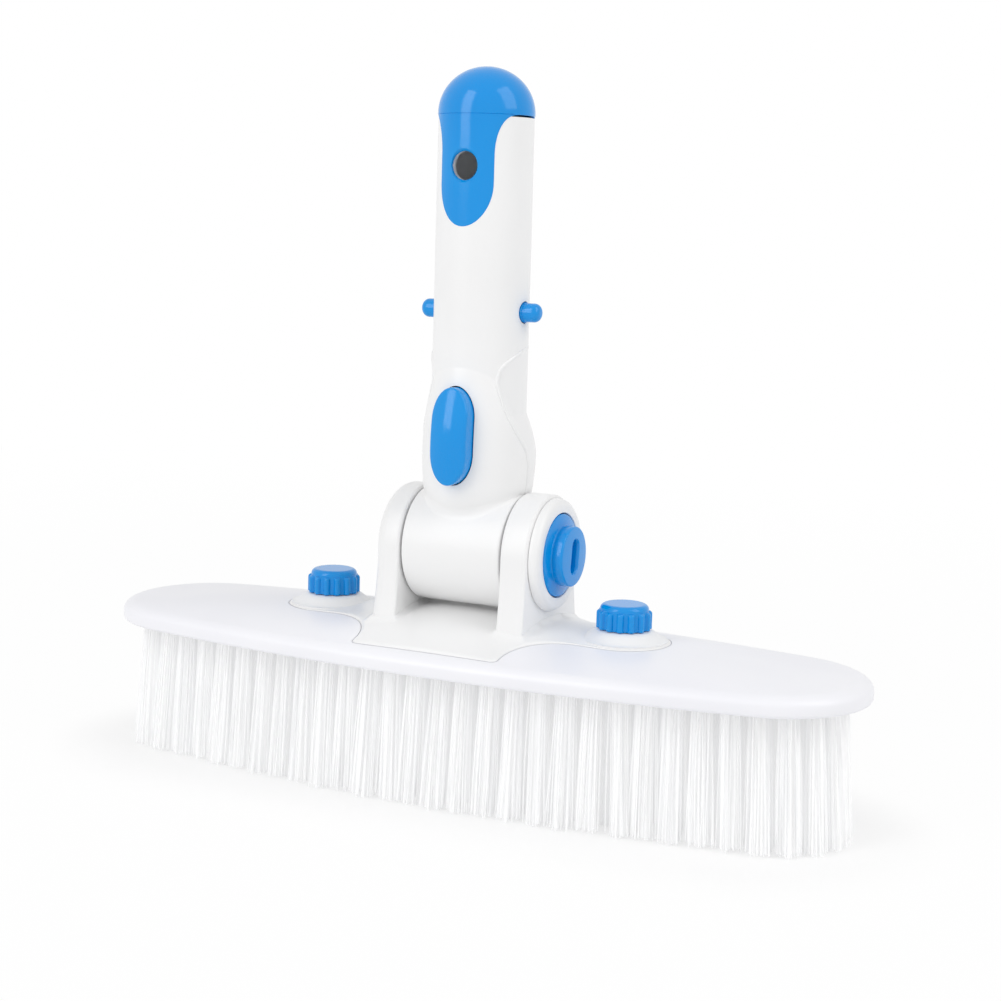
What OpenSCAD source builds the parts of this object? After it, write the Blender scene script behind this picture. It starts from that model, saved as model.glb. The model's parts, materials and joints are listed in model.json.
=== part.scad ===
// Pool wall brush: an oval bristle head, a locking tilt pivot and a snap-on pole spigot.
// Millimetres. X runs along the head, -Y is the button's side, Z is up from the bristle tips.

/* [Brush plate] */
// Length of the oval plate
plate_length = 254; // [220:1:300]
// Width of the oval plate
plate_width = 78; // [74:1:96]
// Radius of the plate's ends, seen from above
plate_end_r = 30; // [24:0.5:35]
// Height of the rim
rim_height = 6.4; // [5.5:0.1:9]
// How far the rim's round shoulder reaches inwards
rim_inset = 4; // [2:0.1:6]
// Rise of the crown from the rim to the middle
crown_rise = 5; // [3:0.1:8]

/* [Bristles] */
// Free length of the bristles below the plate
bristle_length = 41.5; // [25:0.5:60]
// Tufts along a row
tuft_columns = 28; // [26:1:30]
// Rows of tufts across the head
tuft_rows = 7; // [6:1:8]
// Distance from the plate's edge to the outer tufts' middles
tuft_margin = 10.5; // [9:0.1:14]
// Thickness of the bed that the tufts are set in
bed_t = 2; // [1.5:0.1:3]
// How far a strand's tip leans out from its root
strand_splay = 0.9; // [0:0.1:1]
// How uneven the strands' tips are
strand_uneven = 2.2; // [0:0.1:4]

/* [Bracket] */
// Distance from the middle to each knob
knob_x = 50.8; // [46:0.1:60]
// Half width of each lug
lug_r = 14.3; // [12:0.1:16]
// Half width of the base's middle, along the head
base_half_w = 24.5; // [22:0.1:28]
// Half depth of the base's middle, across the head
base_half_d = 34; // [30:0.1:34.5]
// How far the base stands proud of the plate
base_proud = 0.5; // [0:0.1:1.5]
// Rise of the saddle under the barrel above the base
saddle_rise = 3.4; // [2:0.1:4]
// Thickness of each ear
ear_t = 8.8; // [8:0.1:11]
// How far the ear's round top stands out past the barrel
ear_margin = 0.4; // [0.2:0.1:2]
// Half width of an ear's leg at its foot
ear_foot = 21; // [19:0.1:23]
// Rounding of the left ear's outer edge
ear_round = 4.2; // [2:0.1:5]
// Height of the ring boss on the right ear's outer face
ring_h = 3.2; // [2:0.1:5]
// Room between the barrel and the saddle
under_gap = 0.7; // [0.5:0.1:3]

/* [Clamp knobs] */
// Radius of a knob over its ribs
knob_r = 8.4; // [7:0.1:10]
// Height of a knob
knob_h = 8.4; // [7:0.1:11]
// Ribs round a knob
knob_ribs = 14; // [10:1:18]
// Radius of the clamp studs
stud_r = 2.45; // [2:0.05:3]
// Height of the collar under each knob
collar_h = 2.2; // [1:0.1:4]

/* [Handle] */
// Radius of the tube that goes into the pole
tube_r = 14.72; // [14:0.02:15.4]
// Height of the tube's top above the pivot
tube_top_h = 132.4; // [115:0.1:160]
// Largest radius of the swelled housing
swell_r = 17.2; // [16.4:0.1:18.5]
// Radius of the pivot barrel
barrel_r = 17.9; // [17:0.1:19]
// Wall of the two housing shells
shell_wall = 2.6; // [2.2:0.1:3]
// Radius of the cord hole near the top
cord_hole_r = 4.3; // [3:0.1:5]

/* [Release button] */
// Width of the button
button_w = 12; // [10:0.1:13]
// Length of the button
button_len = 29.6; // [26:0.1:30]
// How far the middle of the button stands out of the housing
button_proud = 5; // [3:0.1:5.5]
// How far the button is pressed in
button_travel = 3; // [2:0.1:3]

/* [Snap pins] */
// Radius of a snap pin
pin_r = 2.9; // [2.4:0.05:3.2]
// How far a snap pin stands out of the tube
pin_reach = 5.4; // [4:0.1:6]
// Height of the snap pins above the pivot
pin_h = 73.4; // [71:0.1:77]

/* [Pivot] */
// Radius of the fixed axle
axle_r = 5; // [4:0.1:6]
// Radius of the pivot cap's flange
cap_flange_r = 13; // [11:0.1:14]
// Radius of the pivot cap's raised boss
cap_boss_r = 9.2; // [8:0.1:10]
// Notches round the detent wheel
notches = 12; // [8:1:16]

/* [Hidden] */
$fn = 96;

white_plastic = [0.95, 0.95, 0.96];
plate_white = [0.93, 0.93, 0.95];
bristle_white = [0.97, 0.97, 0.97];
pool_blue = [0.15, 0.56, 0.89];
steel_grey = [0.72, 0.73, 0.75];
brass_yellow = [0.80, 0.66, 0.36];
nylon_cream = [0.90, 0.89, 0.84];

// Clearances
slip = 0.1;
running = 0.06;
seam = 0.16;
moving_gap = 0.3;
past = 1;

// The oval plan: two end arcs and two long side arcs that meet them smoothly
half_l = plate_length / 2;
half_w = plate_width / 2;
end_x = half_l - plate_end_r;
side_r = (end_x * end_x + half_w * half_w - plate_end_r * plate_end_r) / (2 * (half_w - plate_end_r));
side_angle = asin(end_x / (side_r - plate_end_r));
side_steps = 22;
end_steps = 16;

// Heights of the head, up from the bristle tips
plate_z = bristle_length;
rim_z = plate_z + rim_height;
crown_z = rim_z + crown_rise;
stud_head_h = 1.9;
seat_web = 2;
seat_z = plate_z + bed_t + stud_head_h + seat_web;
base_z = crown_z + base_proud;
bed_margin = tuft_margin - 5;

// The crown as a doubly curved face with these radii across and along the head
crown_ry = pow(half_w - rim_inset, 2) / (2 * crown_rise);
crown_rx = pow(half_l - rim_inset, 2) / (2 * crown_rise);

// The saddle: a tighter crown that runs out into the base at these distances from the middle
saddle_x = 38;
saddle_y = base_half_d + 0.7;
saddle_z = base_z + saddle_rise;
saddle_rx = 1 / (2 * saddle_rise / (saddle_x * saddle_x) + 1 / crown_rx);
saddle_ry = 1 / (2 * saddle_rise / (saddle_y * saddle_y) + 1 / crown_ry);

// Pivot and barrel
pivot_z = saddle_z + under_gap + barrel_r;
barrel_half = swell_r - 0.5;
barrel_end_gap = 0.6;
barrel_bore_r = barrel_r - shell_wall - 0.2;
barrel_end_t = 3.1;
ear_in = barrel_half + barrel_end_gap;
ear_out = ear_in + ear_t;
ear_r = barrel_r + ear_margin;
ear_waist = ear_r - 0.9;
ear_waist_h = sqrt(ear_r * ear_r - ear_waist * ear_waist);
ear_fillet = 4;
ring_r = ear_r - 1;
ring_x = ear_out + ring_h;
ring_round = 1.2;
cap_seat_t = 2.4;
cap_seat_x = ring_x - cap_seat_t;
axle_right = cap_seat_x - 1.4;
axle_left = ear_out - 2.6;
axle_l = axle_left + axle_right;
axle_flat = axle_r - 1;
cap_shank_r = axle_r - 2;
cap_shank_l = 9;
cap_cone_h = 1.4;
cap_face_h = 4.2;
cap_slot_l = 10.3;
cap_slot_w = 4.4;
cap_slot_d = 2.4;
bush_r = axle_r + 2.5;
wheel_r = axle_r + 6.3;
wheel_half = 5;
notch_w = 3;
notch_d = 2.4;

// Knobs, studs and washers
collar_z = base_z - knob_x * knob_x / (2 * crown_rx) + collar_h;
washer_t = 1;
washer_r = knob_r - 2.2;
knob_z = collar_z + washer_t + slip;
stud_head_r = 6;
stud_top_z = knob_z + knob_h - 2;
insert_r = stud_r + 2.4;
insert_h = 5;
collar_r = washer_r - 0.4;
rib_r = 1.25;
knob_shoulder = 2.6;
knob_dish = 0.7;

// The neck: a swelled housing over the barrel, with a ball below it and the tube above
swell_h = 29.6;
swell_end_h = 52.6;
rear_end_h = 43.8;
ball_h = 21.6;
swell_step = swell_r - tube_r;
neck_steps = 12;
function swell_arc(end) = (pow(end - swell_h, 2) + swell_step * swell_step) / (2 * swell_step);
function neck_r(h, end) = let (arc = swell_arc(h < swell_h ? swell_end_h : end))
    swell_r - arc + sqrt(arc * arc - pow(h - swell_h, 2));
ball_r = neck_r(ball_h, swell_end_h);

// Side view of the shells' edges, as [y, height above the pivot]
split_low = [0, 30.6];
split_point = [-10.1, 52.3];
split_front = [-30, 64.6];
split_rise = [4, 63.9];
split_back = [30, 63.9];
split_floor = -30;
split_top = tube_top_h + 60;
neck_top_h = split_back[1] + past;

// Room inside the shells
shank_bore = tube_r - shell_wall;
shank_r = shank_bore - slip;
shank_low_h = 43.2;
shank_wall = 2.8;
flange_r = shank_bore + 1.1;
flange_t = 1.8;
cavity_r = flange_r + 0.2;
cavity_floor_h = barrel_bore_r + 1.8;
cavity_top_h = shank_low_h + flange_t + moving_gap;
tube_bore_r = tube_r - 2.62;

// Draft of the spigot: two slight tapers with a straight stretch between them
draft_step = 0.05;
draft_h1 = pin_h + 5.2;
draft_h2 = tube_top_h - 34.4;
spigot_r = tube_r - draft_step;
function tube_out(h) = tube_r - draft_step * (h - swell_end_h) / (draft_h1 - swell_end_h);

// Button, prongs and the lock bolt that they lift
button_mid_h = 36;
button_gap = 0.3;
button_crown = 2;
button_face_y = -(swell_r + button_proud);
button_crown_r = (button_len * button_len / 4 + button_crown * button_crown) / (2 * button_crown);
flange_rim = 1.4;
flange_front_y = -sqrt(cavity_r * cavity_r - pow(button_w / 2 + flange_rim, 2)) + moving_gap;
flange_back_y = flange_front_y + 1.4;
shank_face_y = flange_back_y + button_travel + 0.6;
prong_in = 3;
prong_out = 5.4;
prong_low_h = cavity_floor_h + 0.4;
prong_toe = 1.6;
prong_tip_y = 2;
prong_rise = 5.5;
ramp_gap = 0.3;
bolt_half_y = 3;
bolt_half_x = prong_in - 0.4;
bolt_head_y = 3.5;
bolt_tooth = 1.2;
bolt_tip_h = wheel_r + 0.4;
bolt_tooth_h = notch_d + 0.2;
bolt_head_low_h = prong_low_h + prong_toe;
bolt_head_top_h = bolt_head_low_h + prong_rise + 4.3;
bolt_guide = 0.3;
spring_gap = 0.1;
shelf_h = bolt_head_top_h + 6.1;
shelf_t = 1.6;
post_h = shelf_h + shelf_t + 3.3;
post_r = 3.1;
post_y = 3.5;

// Springs: wire radius, coil radius and turns
wire_r = 0.3;
bolt_coil_r = 2.1;
bolt_turns = 4;
button_coil_r = 2.3;
button_turns = 7;
coil_rings = 8;
wire_sides = 6;

// Screws that hold the shells: [x, height above the pivot]
screw_r = 1.45;
screw_head_r = 2.6;
screw_head_h = 1.8;
screw_seat_y = 10;
screw_tip_y = -8;
boss_r = 2.6;
neck_screw_x = button_w / 2 + flange_rim + boss_r + 0.4;
barrel_screw_x = barrel_half - barrel_end_t - boss_r - 1.4;
neck_screw_h = 28.1;
barrel_screw_h = -11.2;
SCREWS = [for (s = [-1, 1]) each [[s * neck_screw_x, neck_screw_h], [s * barrel_screw_x, barrel_screw_h]]];

// End cap: dome, plug and two tongues
dome_r = tube_r + 0.13;
dome_wall = 2.3;
plug_l = 9;
plug_r = tube_bore_r - slip;
plug_wall = 2.4;
tongue_t = 1.7;
tongue_half = 8.8;
tongue_len = 33.7;
tongue_tip = 13;
tongue_flare_w = 5;
tongue_flare_h = 12;
tongue_steps = 20;
cord_hole_h = tube_top_h - 15.3;

// Snap pins and their leaf spring
pin_hole_r = pin_r + 0.5;
pin_tip = tube_r + pin_reach;
pin_round = 2.2;
pin_flange_r = pin_r + 1.5;
pin_flange_x = sqrt(tube_bore_r * tube_bore_r - pin_flange_r * pin_flange_r) - moving_gap;
pin_flange_t = 1.1;
leaf_t = 0.8;
leaf_half = 4;
leaf_x = pin_flange_x - pin_flange_t - 0.05;
leaf_low_h = pin_h - 4;
tube_floor_h = pin_h - pin_flange_r - 4.4;
leaf_bend_h = pin_h + 14;

// Points round the oval, drawn in by inset
function oval(inset) = concat(
    [for (i = [0:side_steps - 1]) let (t = -side_angle + 2 * side_angle * i / side_steps)
        [(side_r - inset) * sin(t), side_r - half_w - (side_r - inset) * cos(t)]],
    [for (i = [0:end_steps - 1]) let (t = (90 - side_angle) * (2 * i / end_steps - 1))
        [end_x + (plate_end_r - inset) * cos(t), (plate_end_r - inset) * sin(t)]],
    [for (i = [0:side_steps - 1]) let (t = side_angle - 2 * side_angle * i / side_steps)
        [(side_r - inset) * sin(t), half_w - side_r + (side_r - inset) * cos(t)]],
    [for (i = [0:end_steps - 1]) let (t = (90 - side_angle) * (1 - 2 * i / end_steps))
        [-end_x - (plate_end_r - inset) * cos(t), (plate_end_r - inset) * sin(t)]]);

// Triangles that join rings of n points, ring after ring, with fans onto the first and last points
function ring_faces(rings, n) = concat(
    [for (i = [0:n - 1]) [0, 1 + i, 1 + (i + 1) % n]],
    [for (k = [0:rings - 2], i = [0:n - 1], half = [0, 1])
        let (a = 1 + k * n + i, b = 1 + k * n + (i + 1) % n)
        half == 0 ? [a, b + n, b] : [a, a + n, b + n]],
    [for (i = [0:n - 1]) [1 + rings * n, 1 + (rings - 1) * n + (i + 1) % n, 1 + (rings - 1) * n + i]]);

// A ring of the plate: the oval drawn in by inset, shrunk by share, at height z
function plate_ring(inset, share, z) = [for (p = oval(inset)) [p[0] * share, p[1] * share, z]];

// A tube of wire round points along a helix of the given radius, length and turns, along Z
function helix_point(r, len, turns, t) = [r * cos(360 * turns * t), r * sin(360 * turns * t), len * t];
function helix_rings(r, len, turns) = [for (k = [0:turns * coil_rings], s = [0:wire_sides - 1])
    let (t = k / (turns * coil_rings), turn = 360 * turns * t, side = -360 * s / wire_sides,
        out = r + wire_r * cos(side))
    [out * cos(turn), out * sin(turn), wire_r + (len - 2 * wire_r) * t + wire_r * sin(side)]];

// The bed's cells, two to a tuft: rows keep their share of the field's width and follow the oval
field_r = side_r - tuft_margin;
end_bow = 0.77;
cells = 2 * tuft_columns;
bed_corners = (cells + 1) * (tuft_rows + 1);
function field_y(x) = field_r * cos(asin(x / field_r)) - (side_r - half_w);
function bed_half(share) = end_x + (plate_end_r - bed_margin) * sqrt(1 - pow(end_bow * share, 2));
function bed_point(k, j) = let (share = 2 * j / (tuft_rows - 1) - 1, x = (2 * k / cells - 1) * bed_half(share))
    [x, share * field_y(x)];
function bed_grid(z) = [for (j = [0:tuft_rows], k = [0:cells]) let (p = bed_point(k, j - 0.5)) [p[0], p[1], z]];
function corner(k, j) = j * (cells + 1) + k;

// Strands: one to a cell, three-sided, leaning out towards tips that are cut flat at the ground
strand_r = 1.6;
strand_thin = 0.85;
strand_pairing = 0.07;
strand_part = 0.3;
strand_twist = 40;
strand_seed = 11;
strand_cut = 0.5;
UNEVEN = rands(0, 1, cells * tuft_rows, strand_seed);
function strand_ring(p, r, turn, z) = [for (t = [-90, 30, 150])
    [p[0] + r * cos(turn + t), p[1] + r * sin(turn + t), z]];
STRANDS = [for (j = [0:tuft_rows - 1], k = [0:cells - 1])
    let (side = k % 2 == 0 ? -1 : 1, chance = UNEVEN[j * cells + k], turn = strand_twist * (chance - 0.5),
        root = bed_point(k + 0.5 - side * strand_pairing, j),
        tip = root + [strand_splay * root[0] / half_l + side * strand_part, strand_splay * root[1] / half_w])
    each concat(strand_ring(root, strand_r, turn, plate_z),
        strand_ring(tip, strand_r * strand_thin, turn, max(0, strand_uneven * chance - strand_cut)))];

// Triangles of a cell's underside round its strand, of the strand, and of the bed's top and edges
function cell_faces(a, b, c, d, t) = [[a, b, t], [b, t + 1, t], [b, c, t + 1], [c, t + 2, t + 1],
    [c, d, t + 2], [d, a, t + 2], [a, t, t + 2], [t + 3, t + 4, t + 5],
    for (i = [0:2]) each wall_faces(t + 3 + i, t + 3 + (i + 1) % 3, t + i, t + (i + 1) % 3)];
function wall_faces(low0, low1, top0, top1) = [[top0, top1, low1], [top0, low1, low0]];
function edge_faces(a, b) = wall_faces(a, b, bed_corners + a, bed_corners + b);
BED_FACES = concat(
    [for (j = [0:tuft_rows - 1], k = [0:cells - 1])
        let (a = corner(k, j), b = corner(k + 1, j), c = corner(k + 1, j + 1), d = corner(k, j + 1), up = bed_corners)
        each concat(cell_faces(a, b, c, d, 2 * bed_corners + 6 * (j * cells + k)),
            [[up + a, up + c, up + b], [up + a, up + d, up + c]])],
    [for (k = [0:cells - 1]) each concat(edge_faces(corner(k, 0), corner(k + 1, 0)),
        edge_faces(corner(k + 1, tuft_rows), corner(k, tuft_rows)))],
    [for (j = [0:tuft_rows - 1]) each concat(edge_faces(corner(cells, j), corner(cells, j + 1)),
        edge_faces(corner(0, j + 1), corner(0, j)))]);

echo(strands = cells * tuft_rows);
echo(gap_between_turns = (shelf_h - bolt_head_top_h - 2 * spring_gap - 2 * wire_r) / bolt_turns - 2 * wire_r);

// Helpers: turn a Z shape along X or Y, extrude a side view along X or a front view along Y
module along_x() { rotate([0, 90, 0]) children(); }
module along_y() { rotate([-90, 0, 0]) children(); }
module side_view(width) { rotate([90, 0, 90]) linear_extrude(width, center = true) children(); }
module front_view(y0, y1) { translate([0, y1, 0]) rotate([90, 0, 0]) linear_extrude(y1 - y0) children(); }
module at_pivot() { translate([0, 0, pivot_z]) children(); }

// An upright slot with round ends, in the front view
module pill(len, w) {
    translate([-w / 2, -(len - w) / 2]) square([w, len - w]);
    for (s = [-1, 1]) translate([0, s * (len - w) / 2]) circle(w / 2);
}

// The bracket base seen from above: a wide middle, two round lugs and hollow corners between them
module base_plan(grow) {
    corner_r = base_half_d - lug_r - 2;
    square([2 * (base_half_w + grow), 2 * (base_half_d + grow)], center = true);
    square([2 * knob_x, 2 * (lug_r + grow)], center = true);
    for (s = [-1, 1]) translate([s * knob_x, 0]) circle(lug_r + grow);
    for (sx = [-1, 1], sy = [-1, 1]) scale_corner(sx, sy) difference() {
        square(corner_r);
        translate([corner_r, corner_r]) circle(corner_r - grow);
    }
}

// Puts a corner drawn at the origin against the middle and the lug, on the given sides
module scale_corner(sx, sy) {
    mirror([sx < 0 ? 1 : 0, 0]) mirror([0, sy < 0 ? 1 : 0]) translate([base_half_w, lug_r]) children();
}

// Everything under a face that is curved both ways: its top, radii along and across the head, and reach
module under_dome(top, rx, ry, reach) {
    depth = 20;
    turn = asin(reach / rx);
    translate([0, 0, top - rx]) rotate([90, 0, 0]) rotate(90 - turn)
        rotate_extrude(angle = 2 * turn, $fn = 720) intersection() {
            translate([rx - ry, 0]) circle(ry, $fn = 360);
            translate([rx - depth, -half_w]) square([depth + past, 2 * half_w]);
        }
}

// The plate: rounded rim, crowned top, a seat for the bracket, a bed recess and the studs' holes
module brush_plate() {
    edge = 1.2;
    shoulder = [for (t = [0:22.5:90]) plate_ring(rim_inset * (1 - cos(t)), 1, rim_z - rim_height / 2 * (1 - sin(t)))];
    crown = [for (s = [0.86, 0.7, 0.5, 0.25]) plate_ring(rim_inset, s, rim_z + crown_rise * (1 - s * s))];
    rings = concat([plate_ring(edge, 1, plate_z), plate_ring(0, 1, plate_z + edge)], shoulder, crown);
    points = concat([[0, 0, plate_z]], [for (r = rings) each r], [[0, 0, crown_z]]);
    color(plate_white) difference() {
        polyhedron(points, ring_faces(len(rings), len(rings[0])));
        translate([0, 0, seat_z]) linear_extrude(crown_rise + rim_height) base_plan(slip);
        translate([0, 0, plate_z - past]) linear_extrude(bed_t + past) polygon(oval(bed_margin - slip));
        for (s = [-1, 1]) translate([s * knob_x, 0, plate_z]) {
            cylinder(r = stud_r + slip, h = crown_rise + rim_height);
            cylinder(r = stud_head_r + slip, h = bed_t + stud_head_h + slip);
        }
    }
}

// The strands and the slice of bed that they stand in, as one closed form
module bristle_tufts() {
    color(bristle_white) polyhedron(concat(bed_grid(plate_z), bed_grid(plate_z + bed_t), STRANDS), BED_FACES);
}

// Side view of an ear: a round head on a leg that widens towards its foot
module ear_side() {
    circle(ear_r);
    polygon([[-ear_waist, -ear_waist_h], [ear_waist, -ear_waist_h], [ear_foot, seat_z - pivot_z],
        [-ear_foot, seat_z - pivot_z]]);
}

// The left ear, its outer edge rounded over: a turned head, and a leg with round corners
module left_ear() {
    translate([-ear_in, 0, pivot_z]) intersection() {
        translate([-ear_t / 2, 0, 0]) side_view(ear_t) ear_side();
        union() {
            rotate([0, -90, 0]) round_disc(ear_r, ear_t, ear_round);
            translate([0, 0, seat_z - pivot_z]) linear_extrude(pivot_z - seat_z) {
                translate([-ear_t, ear_round - ear_r]) square([ear_t, 2 * (ear_r - ear_round)]);
                translate([ear_round - ear_t, -ear_r]) square([ear_t - ear_round, 2 * ear_r]);
                for (s = [-1, 1]) translate([ear_round - ear_t, s * (ear_r - ear_round)]) circle(ear_round);
            }
        }
    }
}

// The bracket: base and saddle, lugs with collars, two ears, and a ring boss with a seat for the pivot cap
module pivot_bracket() {
    color(white_plastic) difference() {
        union() {
            intersection() {
                translate([0, 0, seat_z]) linear_extrude(crown_rise + rim_height) base_plan(0);
                union() {
                    under_dome(base_z, crown_rx, crown_ry, knob_x + lug_r + 10);
                    under_dome(saddle_z, saddle_rx, saddle_ry, saddle_x + 5);
                }
            }
            left_ear();
            translate([ear_in + ear_t / 2, 0, pivot_z]) side_view(ear_t) ear_side();
            translate([ear_out, 0, pivot_z]) along_x() round_disc(ring_r, ring_h, ring_round);
            for (s = [-1, 1]) {
                translate([s * knob_x, 0, seat_z]) cylinder(r = collar_r, h = collar_z - seat_z);
                translate([s * ear_out, 0, base_z - 1]) mirror([s < 0 ? 1 : 0, 0, 0]) ear_root();
            }
        }
        translate([-axle_left - slip, 0, pivot_z]) along_x()
            axle_section(axle_r + slip, axle_left + 2 * ring_x);
        translate([cap_seat_x, 0, pivot_z]) along_x() cylinder(r = cap_flange_r + moving_gap, h = 2 * ring_h);
        for (s = [-1, 1]) translate([s * knob_x, 0, seat_z - past])
            cylinder(r = stud_r + slip, h = 2 * crown_rise + collar_h);
    }
}

// A disc along Z whose upper edge is rounded
module round_disc(r, h, edge) {
    rotate_extrude() {
        square([r, h - edge]);
        square([r - edge, h]);
        translate([r - edge, h - edge]) circle(edge);
    }
}

// The hollow fillet between an ear's outer face and the base
module ear_root() {
    rotate([90, 0, 0]) linear_extrude(2 * (ear_waist - 1), center = true) difference() {
        square(ear_fillet);
        translate([ear_fillet, ear_fillet]) circle(ear_fillet);
    }
}

// A round bar with one flat, along Z from the origin
module axle_section(r, len) {
    intersection() {
        cylinder(r = r, h = len);
        translate([0, r - axle_flat - (r - axle_r), 0]) cube([2 * r, 2 * axle_r, 4 * len], center = true);
    }
}

module clamp_studs() {
    color(steel_grey) for (s = [-1, 1]) translate([s * knob_x, 0, plate_z + bed_t]) {
        cylinder(r = stud_head_r, h = stud_head_h);
        cylinder(r = stud_r, h = stud_top_z - plate_z - bed_t);
    }
}

module stud_washers() {
    color(steel_grey) for (s = [-1, 1]) translate([s * knob_x, 0, collar_z]) difference() {
        cylinder(r = washer_r, h = washer_t);
        translate([0, 0, -past]) cylinder(r = stud_r + slip, h = washer_t + 2 * past);
    }
}

// A ribbed thumb nut with a rounded shoulder and a dished top
module knob(x) {
    color(pool_blue) translate([x, 0, knob_z]) difference() {
        intersection() {
            linear_extrude(knob_h) {
                circle(knob_r - rib_r / 2);
                for (i = [0:knob_ribs - 1]) rotate(360 * i / knob_ribs) translate([knob_r - rib_r, 0])
                    circle(rib_r, $fn = 24);
            }
            rotate_extrude() {
                square([knob_r, knob_h - knob_shoulder]);
                square([knob_r - knob_shoulder, knob_h]);
                translate([knob_r - knob_shoulder, knob_h - knob_shoulder]) circle(knob_shoulder);
            }
        }
        translate([0, 0, knob_h - knob_dish]) cylinder(r = knob_r - knob_shoulder, h = knob_h);
        translate([0, 0, -past]) cylinder(r = insert_r + slip, h = insert_h + past + slip, $fn = 6);
        translate([0, 0, -past]) cylinder(r = stud_r + slip, h = stud_top_z - knob_z + past + slip);
    }
}

module left_knob() { knob(-knob_x); }
module right_knob() { knob(knob_x); }

// The six-sided threaded insert inside a knob
module knob_insert(x) {
    color(brass_yellow) translate([x, 0, knob_z]) difference() {
        cylinder(r = insert_r, h = insert_h, $fn = 6);
        translate([0, 0, -past]) cylinder(r = stud_r + running, h = insert_h + 2 * past);
    }
}

module left_knob_insert() { knob_insert(-knob_x); }
module right_knob_insert() { knob_insert(knob_x); }

// The axle stands still in the ears, in a blind hole on the left; its flat carries the detent wheel
module pivot_axle() {
    color(steel_grey) translate([-axle_left, 0, pivot_z]) along_x() difference() {
        axle_section(axle_r, axle_l);
        translate([0, 0, axle_l - cap_shank_l - 2]) cylinder(r = cap_shank_r + running, h = 2 * cap_shank_l);
    }
}

module detent_wheel() {
    color(nylon_cream) at_pivot() along_x() difference() {
        cylinder(r = wheel_r, h = 2 * wheel_half, center = true);
        translate([0, 0, -2 * wheel_half]) axle_section(axle_r + slip, 4 * wheel_half);
        for (i = [0:notches - 1]) rotate(360 * i / notches) translate([wheel_r - notch_d, -notch_w / 2, -2 * wheel_half])
            cube([2 * notch_d, notch_w, 4 * wheel_half]);
    }
}

// The coin-slotted cap at the right end of the pivot, screwed into the axle
module pivot_cap() {
    flange_low = 0.2;
    flange_top = ring_x - cap_seat_x;
    boss_top = flange_top + cap_face_h;
    color(pool_blue) translate([cap_seat_x, 0, pivot_z]) along_x() difference() {
        union() {
            rotate_extrude() polygon([[0, flange_low], [cap_flange_r, flange_low], [cap_flange_r, flange_top],
                [cap_boss_r, flange_top + cap_cone_h], [cap_boss_r, boss_top], [0, boss_top]]);
            translate([0, 0, flange_low - cap_shank_l]) cylinder(r = cap_shank_r, h = cap_shank_l);
        }
        translate([0, 0, boss_top - cap_slot_d]) linear_extrude(cap_slot_d + past) rotate(90)
            pill(cap_slot_l, cap_slot_w);
    }
}

// Two bushes that line the barrel's ends
module pivot_bushes() {
    bush_flange = 1.2;
    color(nylon_cream) at_pivot() for (s = [-1, 1]) rotate([0, s * 90, 0]) translate([0, 0, barrel_half - barrel_end_t])
        difference() {
            union() {
                translate([0, 0, -bush_flange]) cylinder(r = bush_r, h = barrel_end_t + bush_flange);
                translate([0, 0, -bush_flange]) cylinder(r = bush_r + 1.5, h = bush_flange - slip);
            }
            translate([0, 0, -2 * bush_flange]) cylinder(r = axle_r + running, h = 2 * barrel_end_t + bush_flange);
        }
}

// The outside of the neck as one turned form: ball, swell up to the given height, and tube
module neck_form(end) {
    rotate_extrude() {
        polygon([[0, ball_h], for (i = [0:neck_steps]) let (h = ball_h + (end - ball_h) * i / neck_steps)
            [neck_r(h, end), h], [tube_out(neck_top_h), neck_top_h], [0, neck_top_h]]);
        intersection() {
            translate([0, ball_h]) circle(ball_r);
            translate([0, ball_h - ball_r]) square([2 * ball_r, ball_r]);
        }
    }
    along_x() cylinder(r = barrel_r, h = 2 * barrel_half, center = true);
}

// The hollow inside the shells, with its bosses left out where the caller adds them
module neck_hollow() {
    translate([0, 0, cavity_floor_h]) cylinder(r = cavity_r, h = cavity_top_h - cavity_floor_h);
    translate([0, 0, cavity_top_h - past]) cylinder(r = shank_bore, h = split_back[1]);
    along_x() cylinder(r = barrel_bore_r, h = 2 * (barrel_half - barrel_end_t), center = true);
    along_x() cylinder(r = bush_r + slip, h = 4 * barrel_half, center = true);
    translate([0, 0, cavity_floor_h]) cube([2 * (bolt_half_x + bolt_guide), 2 * (bolt_half_y + bolt_guide),
        4 * (cavity_floor_h - barrel_bore_r)], center = true);
}

// Side views of the two shells' shares of the neck
module front_share() {
    polygon([[-seam / 2, split_floor], split_low - [seam / 2, 0], split_point - [seam, 0],
        split_front - [0, seam], [split_front[0], split_floor]]);
}
module rear_share() {
    polygon([[seam / 2, split_floor], split_low + [seam / 2, 0], split_point + [seam, 0],
        split_rise - [0, seam], split_back - [0, seam], [split_back[0], split_floor]]);
}
module tube_share() {
    polygon([split_front, split_point + [0, seam], split_rise, split_back, [split_back[0], split_top],
        [split_front[0], split_top]]);
}

// Bosses for the shells' screws, between two depths
module screw_bosses(y0, y1) {
    for (p = SCREWS) translate([p[0], y0, p[1]]) along_y() cylinder(r = boss_r, h = y1 - y0);
}

module screw_holes(r, y0, y1) {
    for (p = SCREWS) translate([p[0], y0, p[1]]) along_y() cylinder(r = r, h = y1 - y0, $fn = 32);
}

// The front shell: button opening, room for the button's flange, and the screws' blind bosses
module front_shell() {
    color(white_plastic) at_pivot() difference() {
        intersection() {
            neck_form(swell_end_h);
            side_view(4 * swell_r) front_share();
        }
        difference() {
            neck_hollow();
            screw_bosses(-2 * swell_r, 0);
        }
        translate([0, 0, button_mid_h]) front_view(-2 * swell_r, 0)
            pill(button_len + 2 * button_gap, button_w + 2 * button_gap);
        translate([0, 0, button_mid_h]) front_view(flange_front_y - moving_gap, 0)
            pill(button_len + 2 * (flange_rim + moving_gap), button_w + 2 * (flange_rim + moving_gap));
        screw_holes(screw_r + slip / 2, screw_tip_y - slip, past);
    }
}

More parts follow.
